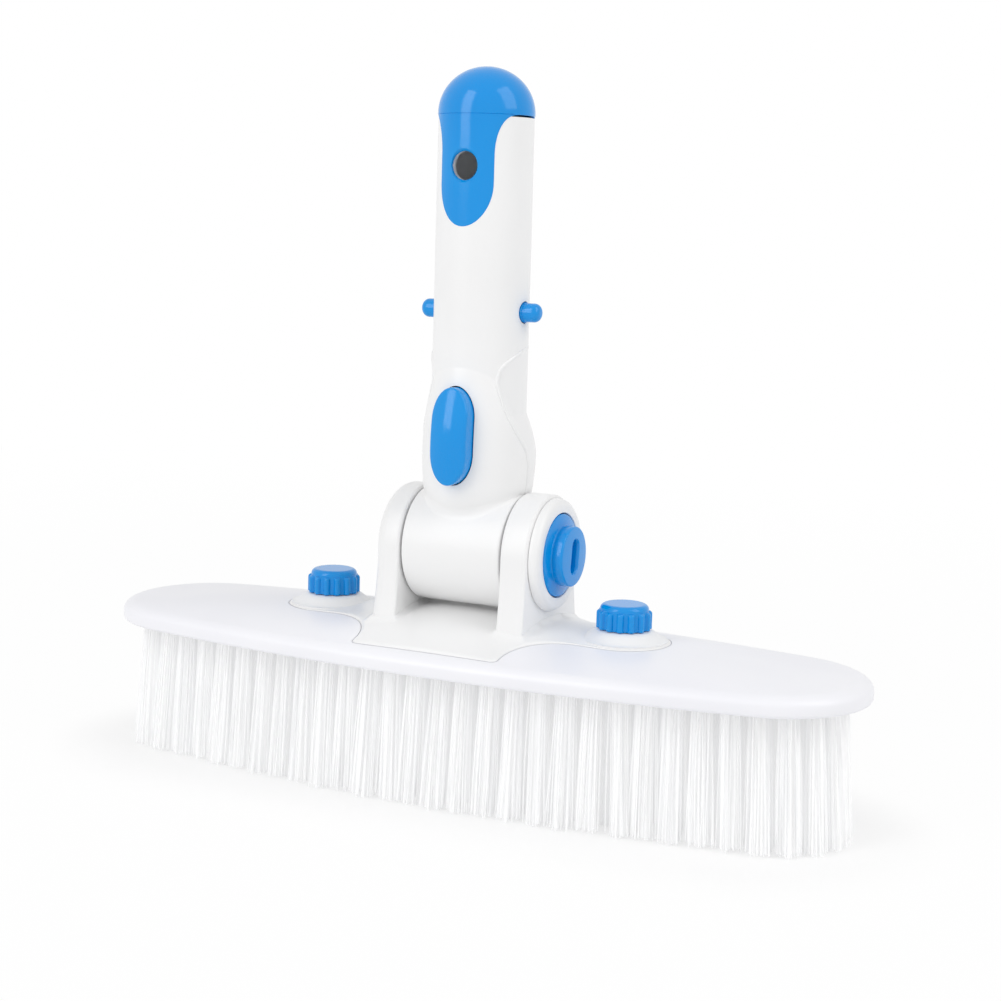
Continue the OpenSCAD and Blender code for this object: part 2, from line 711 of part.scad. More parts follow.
// The rear shell: screw seats, the shelf above the lock bolt and the post behind the button's spring
module rear_shell() {
    wall_y = cavity_r + 0.8;
    color(white_plastic) at_pivot() difference() {
        union() {
            difference() {
                intersection() {
                    neck_form(rear_end_h);
                    side_view(4 * swell_r) rear_share();
                }
                difference() {
                    neck_hollow();
                    screw_bosses(0, 2 * swell_r);
                }
            }
            translate([-prong_out + past, -bolt_head_y, shelf_h])
                cube([2 * (prong_out - past), wall_y + bolt_head_y, shelf_t]);
            translate([0, post_y, post_h]) along_y() cylinder(r = post_r, h = wall_y - post_y);
        }
        screw_holes(screw_r + slip, -past, 2 * swell_r);
        screw_holes(screw_head_r + slip, screw_seat_y, 2 * swell_r);
    }
}

module shell_screws() {
    color(steel_grey) at_pivot() {
        screw_holes(screw_r, screw_tip_y, screw_seat_y + slip);
        screw_holes(screw_head_r, screw_seat_y, screw_seat_y + screw_head_h);
    }
}

// Front view of a tongue, down from the dome's edge, grown all round
module tongue_front(grow) {
    tip_low = tongue_len - tongue_tip;
    half = tongue_half + grow;
    translate([-half, -tip_low]) square([2 * half, tip_low + past]);
    translate([0, -tip_low]) polygon([for (i = [0:tongue_steps]) let (t = 180 * i / tongue_steps)
        [half * cos(t), -(tongue_tip + grow) * sin(t)]]);
    for (s = [0, 1]) mirror([s, 0]) polygon([[0, -tongue_flare_h], [0, past], [half + tongue_flare_w, past],
        for (i = [0:tongue_steps]) let (t = 90 * i / tongue_steps)
            [half + tongue_flare_w * (1 - sin(t)), tongue_flare_h * (cos(t) - 1)]]);
}

// The ring that the tongues are cut from, between two radii
module tongue_ring(r0, r1, grow) {
    intersection() {
        translate([0, 0, -tongue_len - past]) difference() {
            cylinder(r = r1, h = tongue_len + 2 * past);
            cylinder(r = r0, h = 3 * tongue_len, center = true);
        }
        front_view(-2 * tube_r, 2 * tube_r) tongue_front(grow);
    }
}

module cord_hole() {
    translate([0, 0, cord_hole_h]) along_y() cylinder(r = cord_hole_r, h = 4 * tube_r, center = true);
}

// The spigot: a drafted tube on a flanged shank that the shells hold
module handle_tube() {
    color(white_plastic) at_pivot() difference() {
        union() {
            intersection() {
                rotate_extrude() polygon([[0, shank_low_h], [tube_out(shank_low_h), shank_low_h],
                    [spigot_r, draft_h1], [spigot_r, draft_h2], [spigot_r - draft_step, tube_top_h], [0, tube_top_h]]);
                side_view(4 * tube_r) tube_share();
            }
            difference() {
                translate([0, 0, shank_low_h]) {
                    cylinder(r = shank_r, h = tube_floor_h - shank_low_h + past);
                    cylinder(r = flange_r, h = flange_t);
                }
                translate([-2 * tube_r, shank_face_y - 2 * tube_r, 0])
                    cube([4 * tube_r, 2 * tube_r, button_mid_h + button_len / 2 + 2 * flange_rim]);
            }
        }
        translate([0, 0, tube_floor_h]) cylinder(r = tube_bore_r, h = tube_top_h);
        cylinder(r = shank_r - shank_wall, h = tube_top_h);
        translate([0, 0, pin_h]) along_x() cylinder(r = pin_hole_r, h = 4 * tube_r, center = true);
        translate([0, 0, tube_top_h]) tongue_ring(dome_r - tongue_t - slip, 2 * tube_r, slip);
        cord_hole();
    }
}

// The end cap: a hollow dome, a plug inside the tube and two tongues down its sides
module end_cap() {
    color(pool_blue) at_pivot() difference() {
        translate([0, 0, tube_top_h + slip]) {
            difference() {
                rotate_extrude() intersection() {
                    circle(dome_r);
                    square(2 * dome_r);
                }
                sphere(dome_r - dome_wall);
            }
            translate([0, 0, -plug_l]) difference() {
                cylinder(r = plug_r, h = plug_l + dome_wall);
                translate([0, 0, -past]) cylinder(r = plug_r - plug_wall, h = plug_l + dome_wall + 2 * past);
            }
            difference() {
                cylinder(r = dome_r, h = dome_wall);
                translate([0, 0, -past]) cylinder(r = plug_r - plug_wall, h = dome_wall + 2 * past);
            }
            tongue_ring(dome_r - tongue_t, dome_r, 0);
        }
        cord_hole();
    }
}

// The button: a crowned pill, a flange behind the shell and two ramped prongs
module release_button() {
    flange_len = button_len + 2 * flange_rim;
    ramp_back_y = prong_tip_y - prong_rise;
    color(pool_blue) at_pivot() union() {
        intersection() {
            translate([0, 0, button_mid_h]) front_view(-2 * swell_r, flange_back_y) pill(button_len, button_w);
            translate([0, button_face_y + button_crown_r, button_mid_h]) along_x()
                cylinder(r = button_crown_r, h = 2 * button_w, center = true, $fn = 360);
        }
        translate([0, 0, button_mid_h]) front_view(flange_front_y, flange_back_y)
            pill(flange_len, button_w + 2 * flange_rim);
        for (s = [-1, 1]) translate([s * (prong_in + prong_out) / 2, 0, prong_low_h]) side_view(prong_out - prong_in)
            polygon([[flange_front_y + slip, 0], [prong_tip_y, 0], [prong_tip_y, prong_toe],
                [ramp_back_y, prong_toe + prong_rise], [flange_front_y + slip, prong_toe + prong_rise]]);
    }
}

// The lock bolt: a toothed shank under a wide head, whose ramp rides on the button's prongs
module lock_bolt() {
    ramp_low_y = prong_tip_y + ramp_gap;
    head_h = bolt_head_top_h - bolt_head_low_h;
    color(nylon_cream) at_pivot() union() {
        translate([0, 0, bolt_head_low_h]) side_view(2 * prong_out)
            polygon([[-bolt_head_y, ramp_low_y + bolt_head_y], [ramp_low_y, 0], [bolt_head_y, 0],
                [bolt_head_y, head_h], [-bolt_head_y, head_h]]);
        side_view(2 * bolt_half_x) polygon([[-bolt_tooth, bolt_tip_h], [bolt_tooth, bolt_tip_h],
            [bolt_tooth, bolt_tip_h + bolt_tooth_h], [bolt_half_y, bolt_tip_h + bolt_tooth_h],
            [bolt_half_y, bolt_head_top_h], [-bolt_half_y, bolt_head_top_h],
            [-bolt_half_y, bolt_tip_h + bolt_tooth_h], [-bolt_tooth, bolt_tip_h + bolt_tooth_h]]);
    }
}

// A coil spring along Z, from the origin
module coil(r, len, turns) {
    rings = turns * coil_rings + 1;
    first = [helix_point(r, wire_r, turns, 0)];
    last = [helix_point(r, len, turns, 1) - [0, 0, wire_r]];
    polyhedron(concat(first, helix_rings(r, len, turns), last), ring_faces(rings, wire_sides));
}

module bolt_spring() {
    color(steel_grey) translate([0, 0, pivot_z + bolt_head_top_h + spring_gap])
        coil(bolt_coil_r, shelf_h - bolt_head_top_h - 2 * spring_gap, bolt_turns);
}

module button_spring() {
    color(steel_grey) translate([0, flange_back_y + spring_gap, pivot_z + post_h]) along_y()
        coil(button_coil_r, post_y - flange_back_y - 2 * spring_gap, button_turns);
}

// A snap pin: a round-nosed pin with a shoulder in the tube's hole and a flange inside
module clip_pin(side) {
    shoulder_x = tube_r + moving_gap;
    color(pool_blue) translate([0, 0, pivot_z + pin_h]) rotate([0, side * 90, 0]) rotate_extrude() {
        translate([0, pin_flange_x - pin_flange_t]) square([pin_flange_r, pin_flange_t]);
        translate([0, pin_flange_x - pin_flange_t]) square([pin_r + 0.2, shoulder_x - pin_flange_x + pin_flange_t]);
        translate([0, pin_flange_x]) square([pin_r, pin_tip - pin_flange_x - pin_round]);
        translate([0, pin_flange_x]) square([pin_r - pin_round, pin_tip - pin_flange_x]);
        intersection() {
            translate([pin_r - pin_round, pin_tip - pin_round]) circle(pin_round);
            translate([0, pin_flange_x]) square(2 * pin_tip);
        }
    }
}

module left_clip_pin() { clip_pin(-1); }
module right_clip_pin() { clip_pin(1); }

// The bent leaf: two legs behind the pins' flanges, joined by a round bend above them
module clip_spring() {
    color(steel_grey) at_pivot() front_view(-leaf_half, leaf_half) {
        for (s = [-1, 1]) translate([s * (leaf_x - leaf_t / 2) - leaf_t / 2, leaf_low_h])
            square([leaf_t, leaf_bend_h - leaf_low_h]);
        translate([0, leaf_bend_h]) intersection() {
            difference() {
                circle(leaf_x);
                circle(leaf_x - leaf_t);
            }
            translate([-2 * leaf_x, 0]) square([4 * leaf_x, 2 * leaf_x]);
        }
    }
}

brush_plate();
bristle_tufts();
pivot_bracket();
clamp_studs();
stud_washers();
left_knob();
right_knob();
left_knob_insert();
right_knob_insert();
pivot_axle();
detent_wheel();
pivot_cap();
pivot_bushes();
front_shell();
rear_shell();
shell_screws();
handle_tube();
end_cap();
release_button();
button_spring();
lock_bolt();
bolt_spring();
left_clip_pin();
right_clip_pin();
clip_spring();
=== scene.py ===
"""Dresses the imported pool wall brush: smooth mouldings, nylon bristles, finishes, light and camera.

Sizes are millimetres in the object's own frame: X along the head, -Y towards the release button, Z up from
the bristle tips. Meshes are scaled to metres when they are stored.
"""

import json
import logging
import math
from dataclasses import dataclass
from enum import Enum
from typing import Any, Callable, Union

import bmesh
import bpy
import numpy as np
from mathutils import Matrix, Vector

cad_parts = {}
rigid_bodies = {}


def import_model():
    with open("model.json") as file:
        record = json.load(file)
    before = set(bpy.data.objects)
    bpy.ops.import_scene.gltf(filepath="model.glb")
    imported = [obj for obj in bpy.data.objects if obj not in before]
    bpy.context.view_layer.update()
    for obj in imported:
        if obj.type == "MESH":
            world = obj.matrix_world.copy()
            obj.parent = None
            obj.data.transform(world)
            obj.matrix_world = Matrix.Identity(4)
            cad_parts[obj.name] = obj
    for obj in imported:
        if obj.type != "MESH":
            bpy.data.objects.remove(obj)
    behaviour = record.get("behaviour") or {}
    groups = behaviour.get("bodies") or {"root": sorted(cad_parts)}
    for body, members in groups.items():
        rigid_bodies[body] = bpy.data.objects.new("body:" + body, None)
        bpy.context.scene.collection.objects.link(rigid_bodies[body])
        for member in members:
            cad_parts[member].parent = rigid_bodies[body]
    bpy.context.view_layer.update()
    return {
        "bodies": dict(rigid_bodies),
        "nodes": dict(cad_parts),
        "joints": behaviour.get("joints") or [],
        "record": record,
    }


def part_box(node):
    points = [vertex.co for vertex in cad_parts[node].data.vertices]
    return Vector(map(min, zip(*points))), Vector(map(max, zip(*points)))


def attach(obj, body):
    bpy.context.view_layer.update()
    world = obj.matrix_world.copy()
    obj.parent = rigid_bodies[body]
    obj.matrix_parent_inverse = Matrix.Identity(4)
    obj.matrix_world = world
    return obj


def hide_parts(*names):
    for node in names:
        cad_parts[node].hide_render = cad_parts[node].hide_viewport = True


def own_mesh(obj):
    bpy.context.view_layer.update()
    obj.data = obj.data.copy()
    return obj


LOG = logging.getLogger("pool_brush")
MM = 0.001
PHOTO_PX = 1001
TURN = 2 * math.pi
QUARTER = math.pi / 2
HALVINGS = 40
WELD = 0.002
PIVOT_Z = 75.4
KNOB_X = 50.8
CORD_H = 117.1
CORD_R = 4.3
SIDES = (-1, 1)
WHITE = (1.0, 1.0, 1.0, 1.0)

Value = Union["Sock", float, int, tuple]
Point = tuple[float, float, float]
Pairs = tuple[tuple[float, float], ...]


class Body(Enum):
    """The rigid bodies that pieces ride on."""

    HEAD = "brush_head"
    HANDLE = "handle"
    BUTTON = "release_button"
    LEFT_KNOB = "left_knob"
    RIGHT_KNOB = "right_knob"
    CAP = "pivot_cap"


class Axis(Enum):
    """The axis that a turned form stands on."""

    X = 0
    Y = 1
    Z = 2


class Sock:
    """A shader socket that takes part in arithmetic: each operator adds one Math node."""

    def __init__(self, shader: "Shader", socket: Any) -> None:
        """Keeps the socket and the shader that it belongs to."""
        self.shader, self.socket = shader, socket

    def math(self, operation: str, *values: Value) -> "Sock":
        """One Math node on this socket.

        Args:
            operation: Blender's name of the operation.
            values: the operation's other numbers or sockets.

        Returns:
            The node's result.
        """
        return self.shader.node("ShaderNodeMath", {"operation": operation}, dict(enumerate((self, *values))))

    def __add__(self, other: Value) -> "Sock":
        """self + other."""
        return self.math("ADD", other)

    __radd__ = __add__

    def __mul__(self, other: Value) -> "Sock":
        """self * other."""
        return self.math("MULTIPLY", other)

    __rmul__ = __mul__

    def __sub__(self, other: Value) -> "Sock":
        """self - other."""
        return self.math("SUBTRACT", other)

    def __rsub__(self, other: Value) -> "Sock":
        """other - self."""
        return (self * -1.0) + other

    def step(self, low: float, high: float) -> "Sock":
        """A smooth step from 0 at low to 1 at high.

        Args:
            low: where the step begins.
            high: where the step ends.

        Returns:
            The step's value.
        """
        inputs = {"Value": self, "From Min": low, "From Max": high, "To Min": 0.0, "To Max": 1.0}
        return self.shader.node("ShaderNodeMapRange", {"interpolation_type": "SMOOTHSTEP"}, inputs)


class Shader:
    """The node tree of a material or of the world, built from calls and expressions."""

    def __init__(self, owner: Union[bpy.types.Material, bpy.types.World]) -> None:
        """Starts an empty tree on a new material or world."""
        self.owner = owner
        owner.use_nodes = True
        self.tree = owner.node_tree
        self.tree.nodes.clear()

    def node(self, kind: str, settings: dict[str, Any] | None = None, inputs: dict[Any, Value] | None = None,
             output: Union[str, int] = 0) -> Sock:
        """Adds one node.

        Args:
            kind: the node's type.
            settings: properties that are set first.
            inputs: values or sockets by the input's name or place.
            output: the name or place of the output to hand back.

        Returns:
            The chosen output.
        """
        made = self.tree.nodes.new(kind)
        for key, value in (settings or {}).items():
            setattr(made, key, value)
        for key, value in (inputs or {}).items():
            if isinstance(value, Sock):
                self.tree.links.new(value.socket, made.inputs[key])
            else:
                made.inputs[key].default_value = value
        return Sock(self, made.outputs[output] if len(made.outputs) else None)

    def seen(self) -> Sock:
        """1 on the rays of the camera, of mirrors and of clear pieces, and 0 on those that only carry light."""
        camera, glossy, through = (self.node("ShaderNodeLightPath", output=f"Is {ray} Ray")
                                   for ray in ("Camera", "Glossy", "Transmission"))
        return camera.math("MAXIMUM", glossy).math("MAXIMUM", through)

    def coords(self) -> Sock:
        """The surface's own coordinates."""
        return self.node("ShaderNodeTexCoord", output="Object")

    def attribute(self, name: str) -> Sock:
        """A value that is stored on the mesh's points."""
        return self.node("ShaderNodeAttribute", {"attribute_name": name}, output="Fac")

    def noise(self, where: Sock, scale: float, detail: float = 3.0, roughness: float = 0.55) -> Sock:
        """Noise from 0 to 1.

        Args:
            where: the coordinates.
            scale: waves per metre.
            detail: octaves.
            roughness: weight of the finer octaves.

        Returns:
            The noise.
        """
        return self.node("ShaderNodeTexNoise", None,
                         {"Vector": where, "Scale": scale, "Detail": detail, "Roughness": roughness})

    def mix(self, factor: Value, low: Value, high: Value) -> Sock:
        """A colour between low and high."""
        return self.node("ShaderNodeMix", {"data_type": "RGBA"}, {0: factor, 6: low, 7: high}, 2)

    def bump(self, height: Sock, depth: float, normal: Sock | None = None) -> Sock:
        """A bump of the given depth in metres."""
        links = {"Strength": 1.0, "Distance": depth, "Height": height}
        if normal is not None:
            links["Normal"] = normal
        return self.node("ShaderNodeBump", None, links)

    def surface(self, **inputs: Value) -> bpy.types.Material:
        """Ends the material in a Principled shader.

        Args:
            inputs: values or sockets, by the input's name with _ for each space.

        Returns:
            The finished material.
        """
        shade = self.node("ShaderNodeBsdfPrincipled", None, {k.replace("_", " "): v for k, v in inputs.items()})
        self.node("ShaderNodeOutputMaterial", None, {"Surface": shade})
        return self.owner


def rgba(red: float, green: float, blue: float) -> tuple[float, float, float, float]:
    """A linear colour from screen values of 0 to 255."""
    def linear(v: float) -> float:
        """One screen value as light."""
        v /= 255.0
        return v / 12.92 if v <= 0.04045 else ((v + 0.055) / 1.055) ** 2.4

    return linear(red), linear(green), linear(blue), 1.0


@dataclass(frozen=True)
class Finish:
    """A material and the record's slot that it belongs to."""

    material: bpy.types.Material
    slot: str


@dataclass(frozen=True)
class MouldedPlastic:
    """Injection-moulded plastic: a faint orange peel, slow drifts of tone and uneven polish."""

    name: str
    slot: str
    colour: tuple
    shade: tuple
    roughness: float = 0.3
    polish_drift: float = 0.08
    peel_scale: float = 900.0
    peel_depth: float = 0.00001
    shine: float = 0.5
    bending: float = 1.49
    drift_scale: float = 22.0
    drift_span: tuple[float, float] = (0.35, 0.7)
    seam: str = ""
    seam_shade_colour: tuple = rgba(160, 162, 170)
    seam_half: float = 0.3
    seam_shade_share: float = 0.45
    seam_depth: float = 0.0004

    def finish(self) -> Finish:
        """Builds the finish; with a seam attribute, a dark hairline of painted shade, standing for the shade in
        the joint's gap, follows that distance field.

        Returns:
            The finish.
        """
        s = Shader(bpy.data.materials.new(self.name))
        where = s.coords()
        drift = s.noise(where, self.drift_scale, 2.0)
        peel = s.noise(where, self.peel_scale, 2.0, 0.4)
        tone = s.mix(drift.step(*self.drift_span), self.colour, self.shade)
        rough = drift * self.polish_drift + (self.roughness - self.polish_drift / 2)
        normal = s.bump(peel, self.peel_depth)
        if self.seam:
            # painted shade: the hairline darkens the tone where the bracket's joint would hold shade in its
            # gap; the bump below it is a real groove
            line = 1.0 - s.attribute(self.seam).math("ABSOLUTE").step(self.seam_half * 0.3, self.seam_half)
            tone = s.mix(line * self.seam_shade_share, tone, self.seam_shade_colour)
            normal = s.bump(line * -1.0, self.seam_depth, normal)
        made = s.surface(Base_Color=tone, Roughness=rough, Normal=normal, IOR=self.bending,
                         Specular_IOR_Level=self.shine)
        return Finish(made, self.slot)


@dataclass(frozen=True)
class DrawnNylon:
    """Bristle nylon: milky filaments, each of its own tone, that brighten towards the tips.

    A little light of their own stands in for the light that many thin filaments pass on to each other.
    """

    name: str
    slot: str
    root: tuple
    tip: tuple
    roughness: float = 0.42
    roughness_spread: float = 0.15
    own_colour: tuple = rgba(226, 228, 233)
    own_share: float = 0.2
    root_reach: float = 0.4
    glow: float = 0.163
    milk: float = 0.7
    milk_depth: float = 0.004

    def finish(self) -> Finish:
        """Builds the finish from the filaments' own attributes.

        Returns:
            The finish.
        """
        s = Shader(bpy.data.materials.new(self.name))
        along, own = s.attribute("along"), s.attribute("own")
        tone = s.mix(along.step(0.0, self.root_reach), self.root, self.tip)
        tone = s.mix(own * self.own_share, tone, self.own_colour)
        made = s.surface(Base_Color=tone, Roughness=own * self.roughness_spread + self.roughness,
                         Emission_Color=tone, Emission_Strength=self.glow, Subsurface_Weight=self.milk,
                         Subsurface_Radius=(1.0, 1.0, 1.0), Subsurface_Scale=self.milk_depth)
        return Finish(made, self.slot)


@dataclass(frozen=True)
class BareMetal:
    """Plated or turned metal: fine lines and a drifting polish."""

    name: str
    slot: str
    colour: tuple
    roughness: float = 0.3
    roughness_spread: float = 0.15
    grain: float = 2500.0
    grain_colour: tuple = rgba(120, 120, 122)
    grain_share: float = 0.3
    grain_depth: float = 0.000004

    def finish(self) -> Finish:
        """Builds the finish.

        Returns:
            The finish.
        """
        s = Shader(bpy.data.materials.new(self.name))
        lines = s.noise(s.coords(), self.grain, 2.0)
        tone = s.mix(lines * self.grain_share, self.colour, self.grain_colour)
        rough = lines * self.roughness_spread + self.roughness
        made = s.surface(Base_Color=tone, Metallic=1.0, Roughness=rough, Normal=s.bump(lines, self.grain_depth))
        return Finish(made, self.slot)


class Finishes:
    """Every finish of the brush, made once."""

    def __init__(self) -> None:
        """Builds the materials."""
        self.white = MouldedPlastic("white_moulding", "white_plastic", rgba(243, 243, 243), rgba(240, 240, 240),
                                    roughness=0.36).finish()
        self.plate = MouldedPlastic("plate_moulding", "plate_plastic", rgba(245, 245, 249), rgba(242, 242, 247),
                                    roughness=0.36, seam="seat_distance").finish()
        self.blue = MouldedPlastic("blue_moulding", "blue_plastic", rgba(0, 147, 226), rgba(0, 142, 222),
                                   roughness=0.13, polish_drift=0.03, shine=0.4).finish()
        self.bristle = DrawnNylon("bristle_nylon", "bristle_nylon", rgba(241, 241, 241),
                                  rgba(246, 246, 246)).finish()
        self.nylon = MouldedPlastic("cream_nylon", "cream_nylon", rgba(234, 231, 221), rgba(226, 222, 210),
                                    roughness=0.45).finish()
        self.steel = BareMetal("plain_steel", "steel", rgba(196, 198, 202)).finish()
        self.brass = BareMetal("turned_brass", "brass", rgba(208, 178, 112)).finish()


class MeshParts:
    """Points and faces of one form, gathered from grids."""

    def __init__(self) -> None:
        """Starts empty."""
        self.points: list[np.ndarray] = []
        self.faces: list[np.ndarray] = []
        self.count = 0

    def grid(self, points: np.ndarray, wrap_u: bool = False, wrap_v: bool = False) -> "MeshParts":
        """Adds the quads of a grid of points.

        Args:
            points: an array of rows, columns and coordinates.
            wrap_u: joins the last row to the first.
            wrap_v: joins the last column to the first.

        Returns:
            Itself.
        """
        rows, cols = points.shape[:2]
        index = np.arange(rows * cols).reshape(rows, cols) + self.count
        i = np.arange(rows if wrap_u else rows - 1)[:, None]
        j = np.arange(cols if wrap_v else cols - 1)[None, :]
        up, right = (i + 1) % rows, (j + 1) % cols
        quads = np.stack([index[i, j], index[i, right], index[up, right], index[up, j]], axis=-1)
        self.points.append(points.reshape(-1, 3))
        self.faces.append(quads.reshape(-1, 4))
        self.count += rows * cols
        return self

    def mesh(self, name: str) -> bpy.types.Mesh:
        """The gathered grids as one mesh in metres, with doubles merged and faces outwards.

        Args:
            name: the mesh's name.

        Returns:
            The mesh.
        """
        mesh = bpy.data.meshes.new(name)
        mesh.from_pydata((np.concatenate(self.points) * MM).tolist(), [], np.concatenate(self.faces).tolist())
        work = bmesh.new()
        work.from_mesh(mesh)
        bmesh.ops.remove_doubles(work, verts=work.verts, dist=WELD * MM)
        bmesh.ops.dissolve_degenerate(work, edges=work.edges, dist=WELD * MM * 0.1)
        bmesh.ops.recalc_face_normals(work, faces=work.faces)
        work.to_mesh(mesh)
        work.free()
        return mesh


def ringed(points: np.ndarray, name: str, wrap_u: bool = False) -> bpy.types.Mesh:
    """A mesh of closed rings, one for each row of the grid.

    Args:
        points: an array of rows, columns and coordinates.
        name: the mesh's name.
        wrap_u: joins the last ring to the first.

    Returns:
        The mesh.
    """
    return MeshParts().grid(points, wrap_u, wrap_v=True).mesh(name)


def carved(mesh: bpy.types.Mesh, cuts: list[bpy.types.Mesh]) -> bpy.types.Mesh:
    """Cuts closed forms out of a closed form.

    Args:
        mesh: the form that is cut.
        cuts: the forms that are taken away.

    Returns:
        The mesh that is left.
    """
    block = bpy.data.objects.new("uncut", mesh)
    tools = [bpy.data.objects.new(f"cut_{i}", cut) for i, cut in enumerate(cuts)]
    for item in (block, *tools):
        bpy.context.scene.collection.objects.link(item)
    for tool in tools:
        cut = block.modifiers.new(tool.name, "BOOLEAN")
        cut.operation, cut.solver, cut.object = "DIFFERENCE", "EXACT", tool
    graph = bpy.context.evaluated_depsgraph_get()
    left = bpy.data.meshes.new_from_object(block.evaluated_get(graph))
    left.name = mesh.name
    for item in (block, *tools):
        bpy.data.objects.remove(item, do_unlink=True)
    for used in (mesh, *cuts):
        bpy.data.meshes.remove(used)
    return left


def dress(mesh: bpy.types.Mesh, name: str, body: Body, finish: Finish, replaces: tuple[str, ...],
          sharp: float = 40.0) -> bpy.types.Object:
    """Makes an object of a mesh, smooths it and hands it to its body.

    Args:
        mesh: the mesh, in metres.
        name: the piece's name.
        body: the body it rides on.
        finish: its finish.
        replaces: the nodes that it stands for.
        sharp: edges past this angle, in degrees, stay crisp.

    Returns:
        The object.
    """
    mesh.materials.clear()
    mesh.materials.append(finish.material)
    mesh.polygons.foreach_set("material_index", np.zeros(len(mesh.polygons), dtype=np.int32))
    mesh.shade_smooth()
    mesh.set_sharp_from_angle(angle=math.radians(sharp))
    piece = bpy.data.objects.new(name, mesh)
    bpy.context.scene.collection.objects.link(piece)
    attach(piece, body.value)
    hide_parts(*replaces)
    LOG.info("%s: %d points, %d faces", name, len(mesh.vertices), len(mesh.polygons))
    return piece


def quadratic(t: np.ndarray, start: np.ndarray, middle: np.ndarray, end: np.ndarray) -> np.ndarray:
    """Points at t, from 0 to 1, of the quadratic curve from start to end that heads for middle."""
    return (1 - t) ** 2 * start + 2 * t * (1 - t) * middle + t ** 2 * end


def edge_of(inside: Callable[[np.ndarray], np.ndarray], low: np.ndarray, high: np.ndarray) -> np.ndarray:
    """The last values that are inside, found by halving the way between low and high again and again.

    Args:
        inside: tells which of an array of values are inside.
        low: values that are inside.
        high: values that are outside.

    Returns:
        The values at the edge.
    """
    for _ in range(HALVINGS):
        half = (low + high) / 2
        held = inside(half)
        low, high = np.where(held, half, low), np.where(held, high, half)
    return low


def soft_profile(corners: tuple[Point, ...], steps: int = 6) -> np.ndarray:
    """A profile whose corners are rounded: each is a short quadratic curve between its two sides.

    Args:
        corners: radius, place along the axis, and how far each rounding reaches along its sides.
        steps: steps in each rounding.

    Returns:
        An array of radius and place.
    """
    at = np.array([c[:2] for c in corners])
    reach = [c[2] for c in corners]
    line = []
    for i, (here, size) in enumerate(zip(at, reach)):
        if size <= 0 or i in (0, len(at) - 1):
            line.append(here[None])
            continue
        back, ahead = at[i - 1] - here, at[i + 1] - here
        start = here + back / np.hypot(*back) * size
        end = here + ahead / np.hypot(*ahead) * size
        t = np.linspace(0, 1, steps)[:, None]
        line.append(quadratic(t, start, here, end))
    return np.concatenate(line)


def turned(profile: np.ndarray, axis: Axis, centre: Point, steps: int = 128) -> np.ndarray:
    """A profile of radius and place carried round an axis.

    Args:
        profile: radius and place along the axis.
        axis: the axis.
        centre: a point on the axis.
        steps: points round the axis.

    Returns:
        A grid of points, open at its seam, to be wrapped along its columns.
    """
    angle = np.linspace(0, TURN, steps, endpoint=False)[None, :]
    r, along = profile[:, :1], np.broadcast_to(profile[:, 1:2], (len(profile), steps))
    a, b = r * np.cos(angle), r * np.sin(angle)
    order = {Axis.X: (along, a, b), Axis.Y: (b, along, a), Axis.Z: (a, b, along)}[axis]
    return np.stack(order, axis=-1) + np.array(centre)


def rod(axis: Axis, centre: Point, rings: Pairs, steps: int = 64) -> bpy.types.Mesh:
    """A closed turned form, for cutting.

    Args:
        axis: the axis.
        centre: a point on the axis.
        rings: radius and place of each ring, along the axis.
        steps: points round the axis.

    Returns:
        The mesh.
    """
    ends = [(0.0, rings[0][1]), *rings, (0.0, rings[-1][1])]
    return ringed(turned(np.array(ends), axis, centre, steps), "rod")


def pill_outline(length: float, width: float, end: float, arc: int = 40,
                 side: int = 16) -> tuple[np.ndarray, np.ndarray]:
    """An upright slot with rounded ends: its outline, and the outline of its middle line.

    Args:
        length: the slot's length.
        width: its width.
        end: length of each rounded end; half the width makes it a half circle.
        arc: points round each end.
        side: points along each side.

    Returns:
        Points across and up, and for each the place on the middle line that it closes in on.
    """
    half = length / 2 - end
    bend = np.linspace(0, math.pi, arc)
    angle = np.concatenate([bend, np.full(side, math.pi), bend + math.pi, np.full(side, TURN)])
    run = np.linspace(half, -half, side + 2)[1:-1]
    place = np.concatenate([np.full(arc, half), run, np.full(arc, -half), -run])
    line = np.stack([np.cos(angle) * width / 2, place + np.sin(angle) * end], axis=-1)
    return line, np.stack([np.zeros_like(place), place + np.sin(angle) * (end - width / 2)], axis=-1)


def pill_rod(axis: Axis, centre: Point, size: Point, rings: Pairs, lean: float = 0.0) -> bpy.types.Mesh:
    """A closed slot-shaped form along X or Y, for cutting.

    Args:
        axis: the axis it is carried along.
        centre: the slot's middle.
        size: the slot's length, upwards, its width, and the length of its rounded ends.
        rings: growth and place along the axis of each ring.
        lean: how far the slot is turned about the axis, in degrees.

    Returns:
        The mesh.
    """
    line, middle = pill_outline(*size)
    out = (line - middle) / np.maximum(np.linalg.norm(line - middle, axis=1, keepdims=True), 1e-6)
    rows = [middle, *(line + out * grow for grow, _ in rings), middle]
    along = [rings[0][1], *(place for _, place in rings), rings[-1][1]]
    c, s = math.cos(math.radians(lean)), math.sin(math.radians(lean))
    flat = np.stack(rows) @ np.array([[c, -s], [s, c]])
    depth = np.broadcast_to(np.array(along)[:, None], flat.shape[:2])
    order = (depth, flat[..., 0], flat[..., 1]) if axis is Axis.X else (flat[..., 0], depth, flat[..., 1])
    return ringed(np.stack(order, axis=-1) + np.array(centre), "pill")


def smooth(x: np.ndarray, low: float, high: float) -> np.ndarray:
    """A smooth step from 0 at low to 1 at high."""
    t = np.clip((x - low) / (high - low), 0, 1)
    return t * t * (3 - 2 * t)


def line_distance(p: np.ndarray, line: np.ndarray) -> np.ndarray:
    """Distance from points to a line of straight pieces.

    Args:
        p: points, with two coordinates in the last place.
        line: the line's points.

    Returns:
        Distances, each to the nearest piece.
    """
    best = np.full(p.shape[:-1], 1e9)
    for a, b in zip(line[:-1], line[1:]):
        way = b - a
        t = np.clip(((p - a) @ way) / max(way @ way, 1e-9), 0, 1)[..., None]
        best = np.minimum(best, np.linalg.norm(p - a - t * way, axis=-1))
    return best


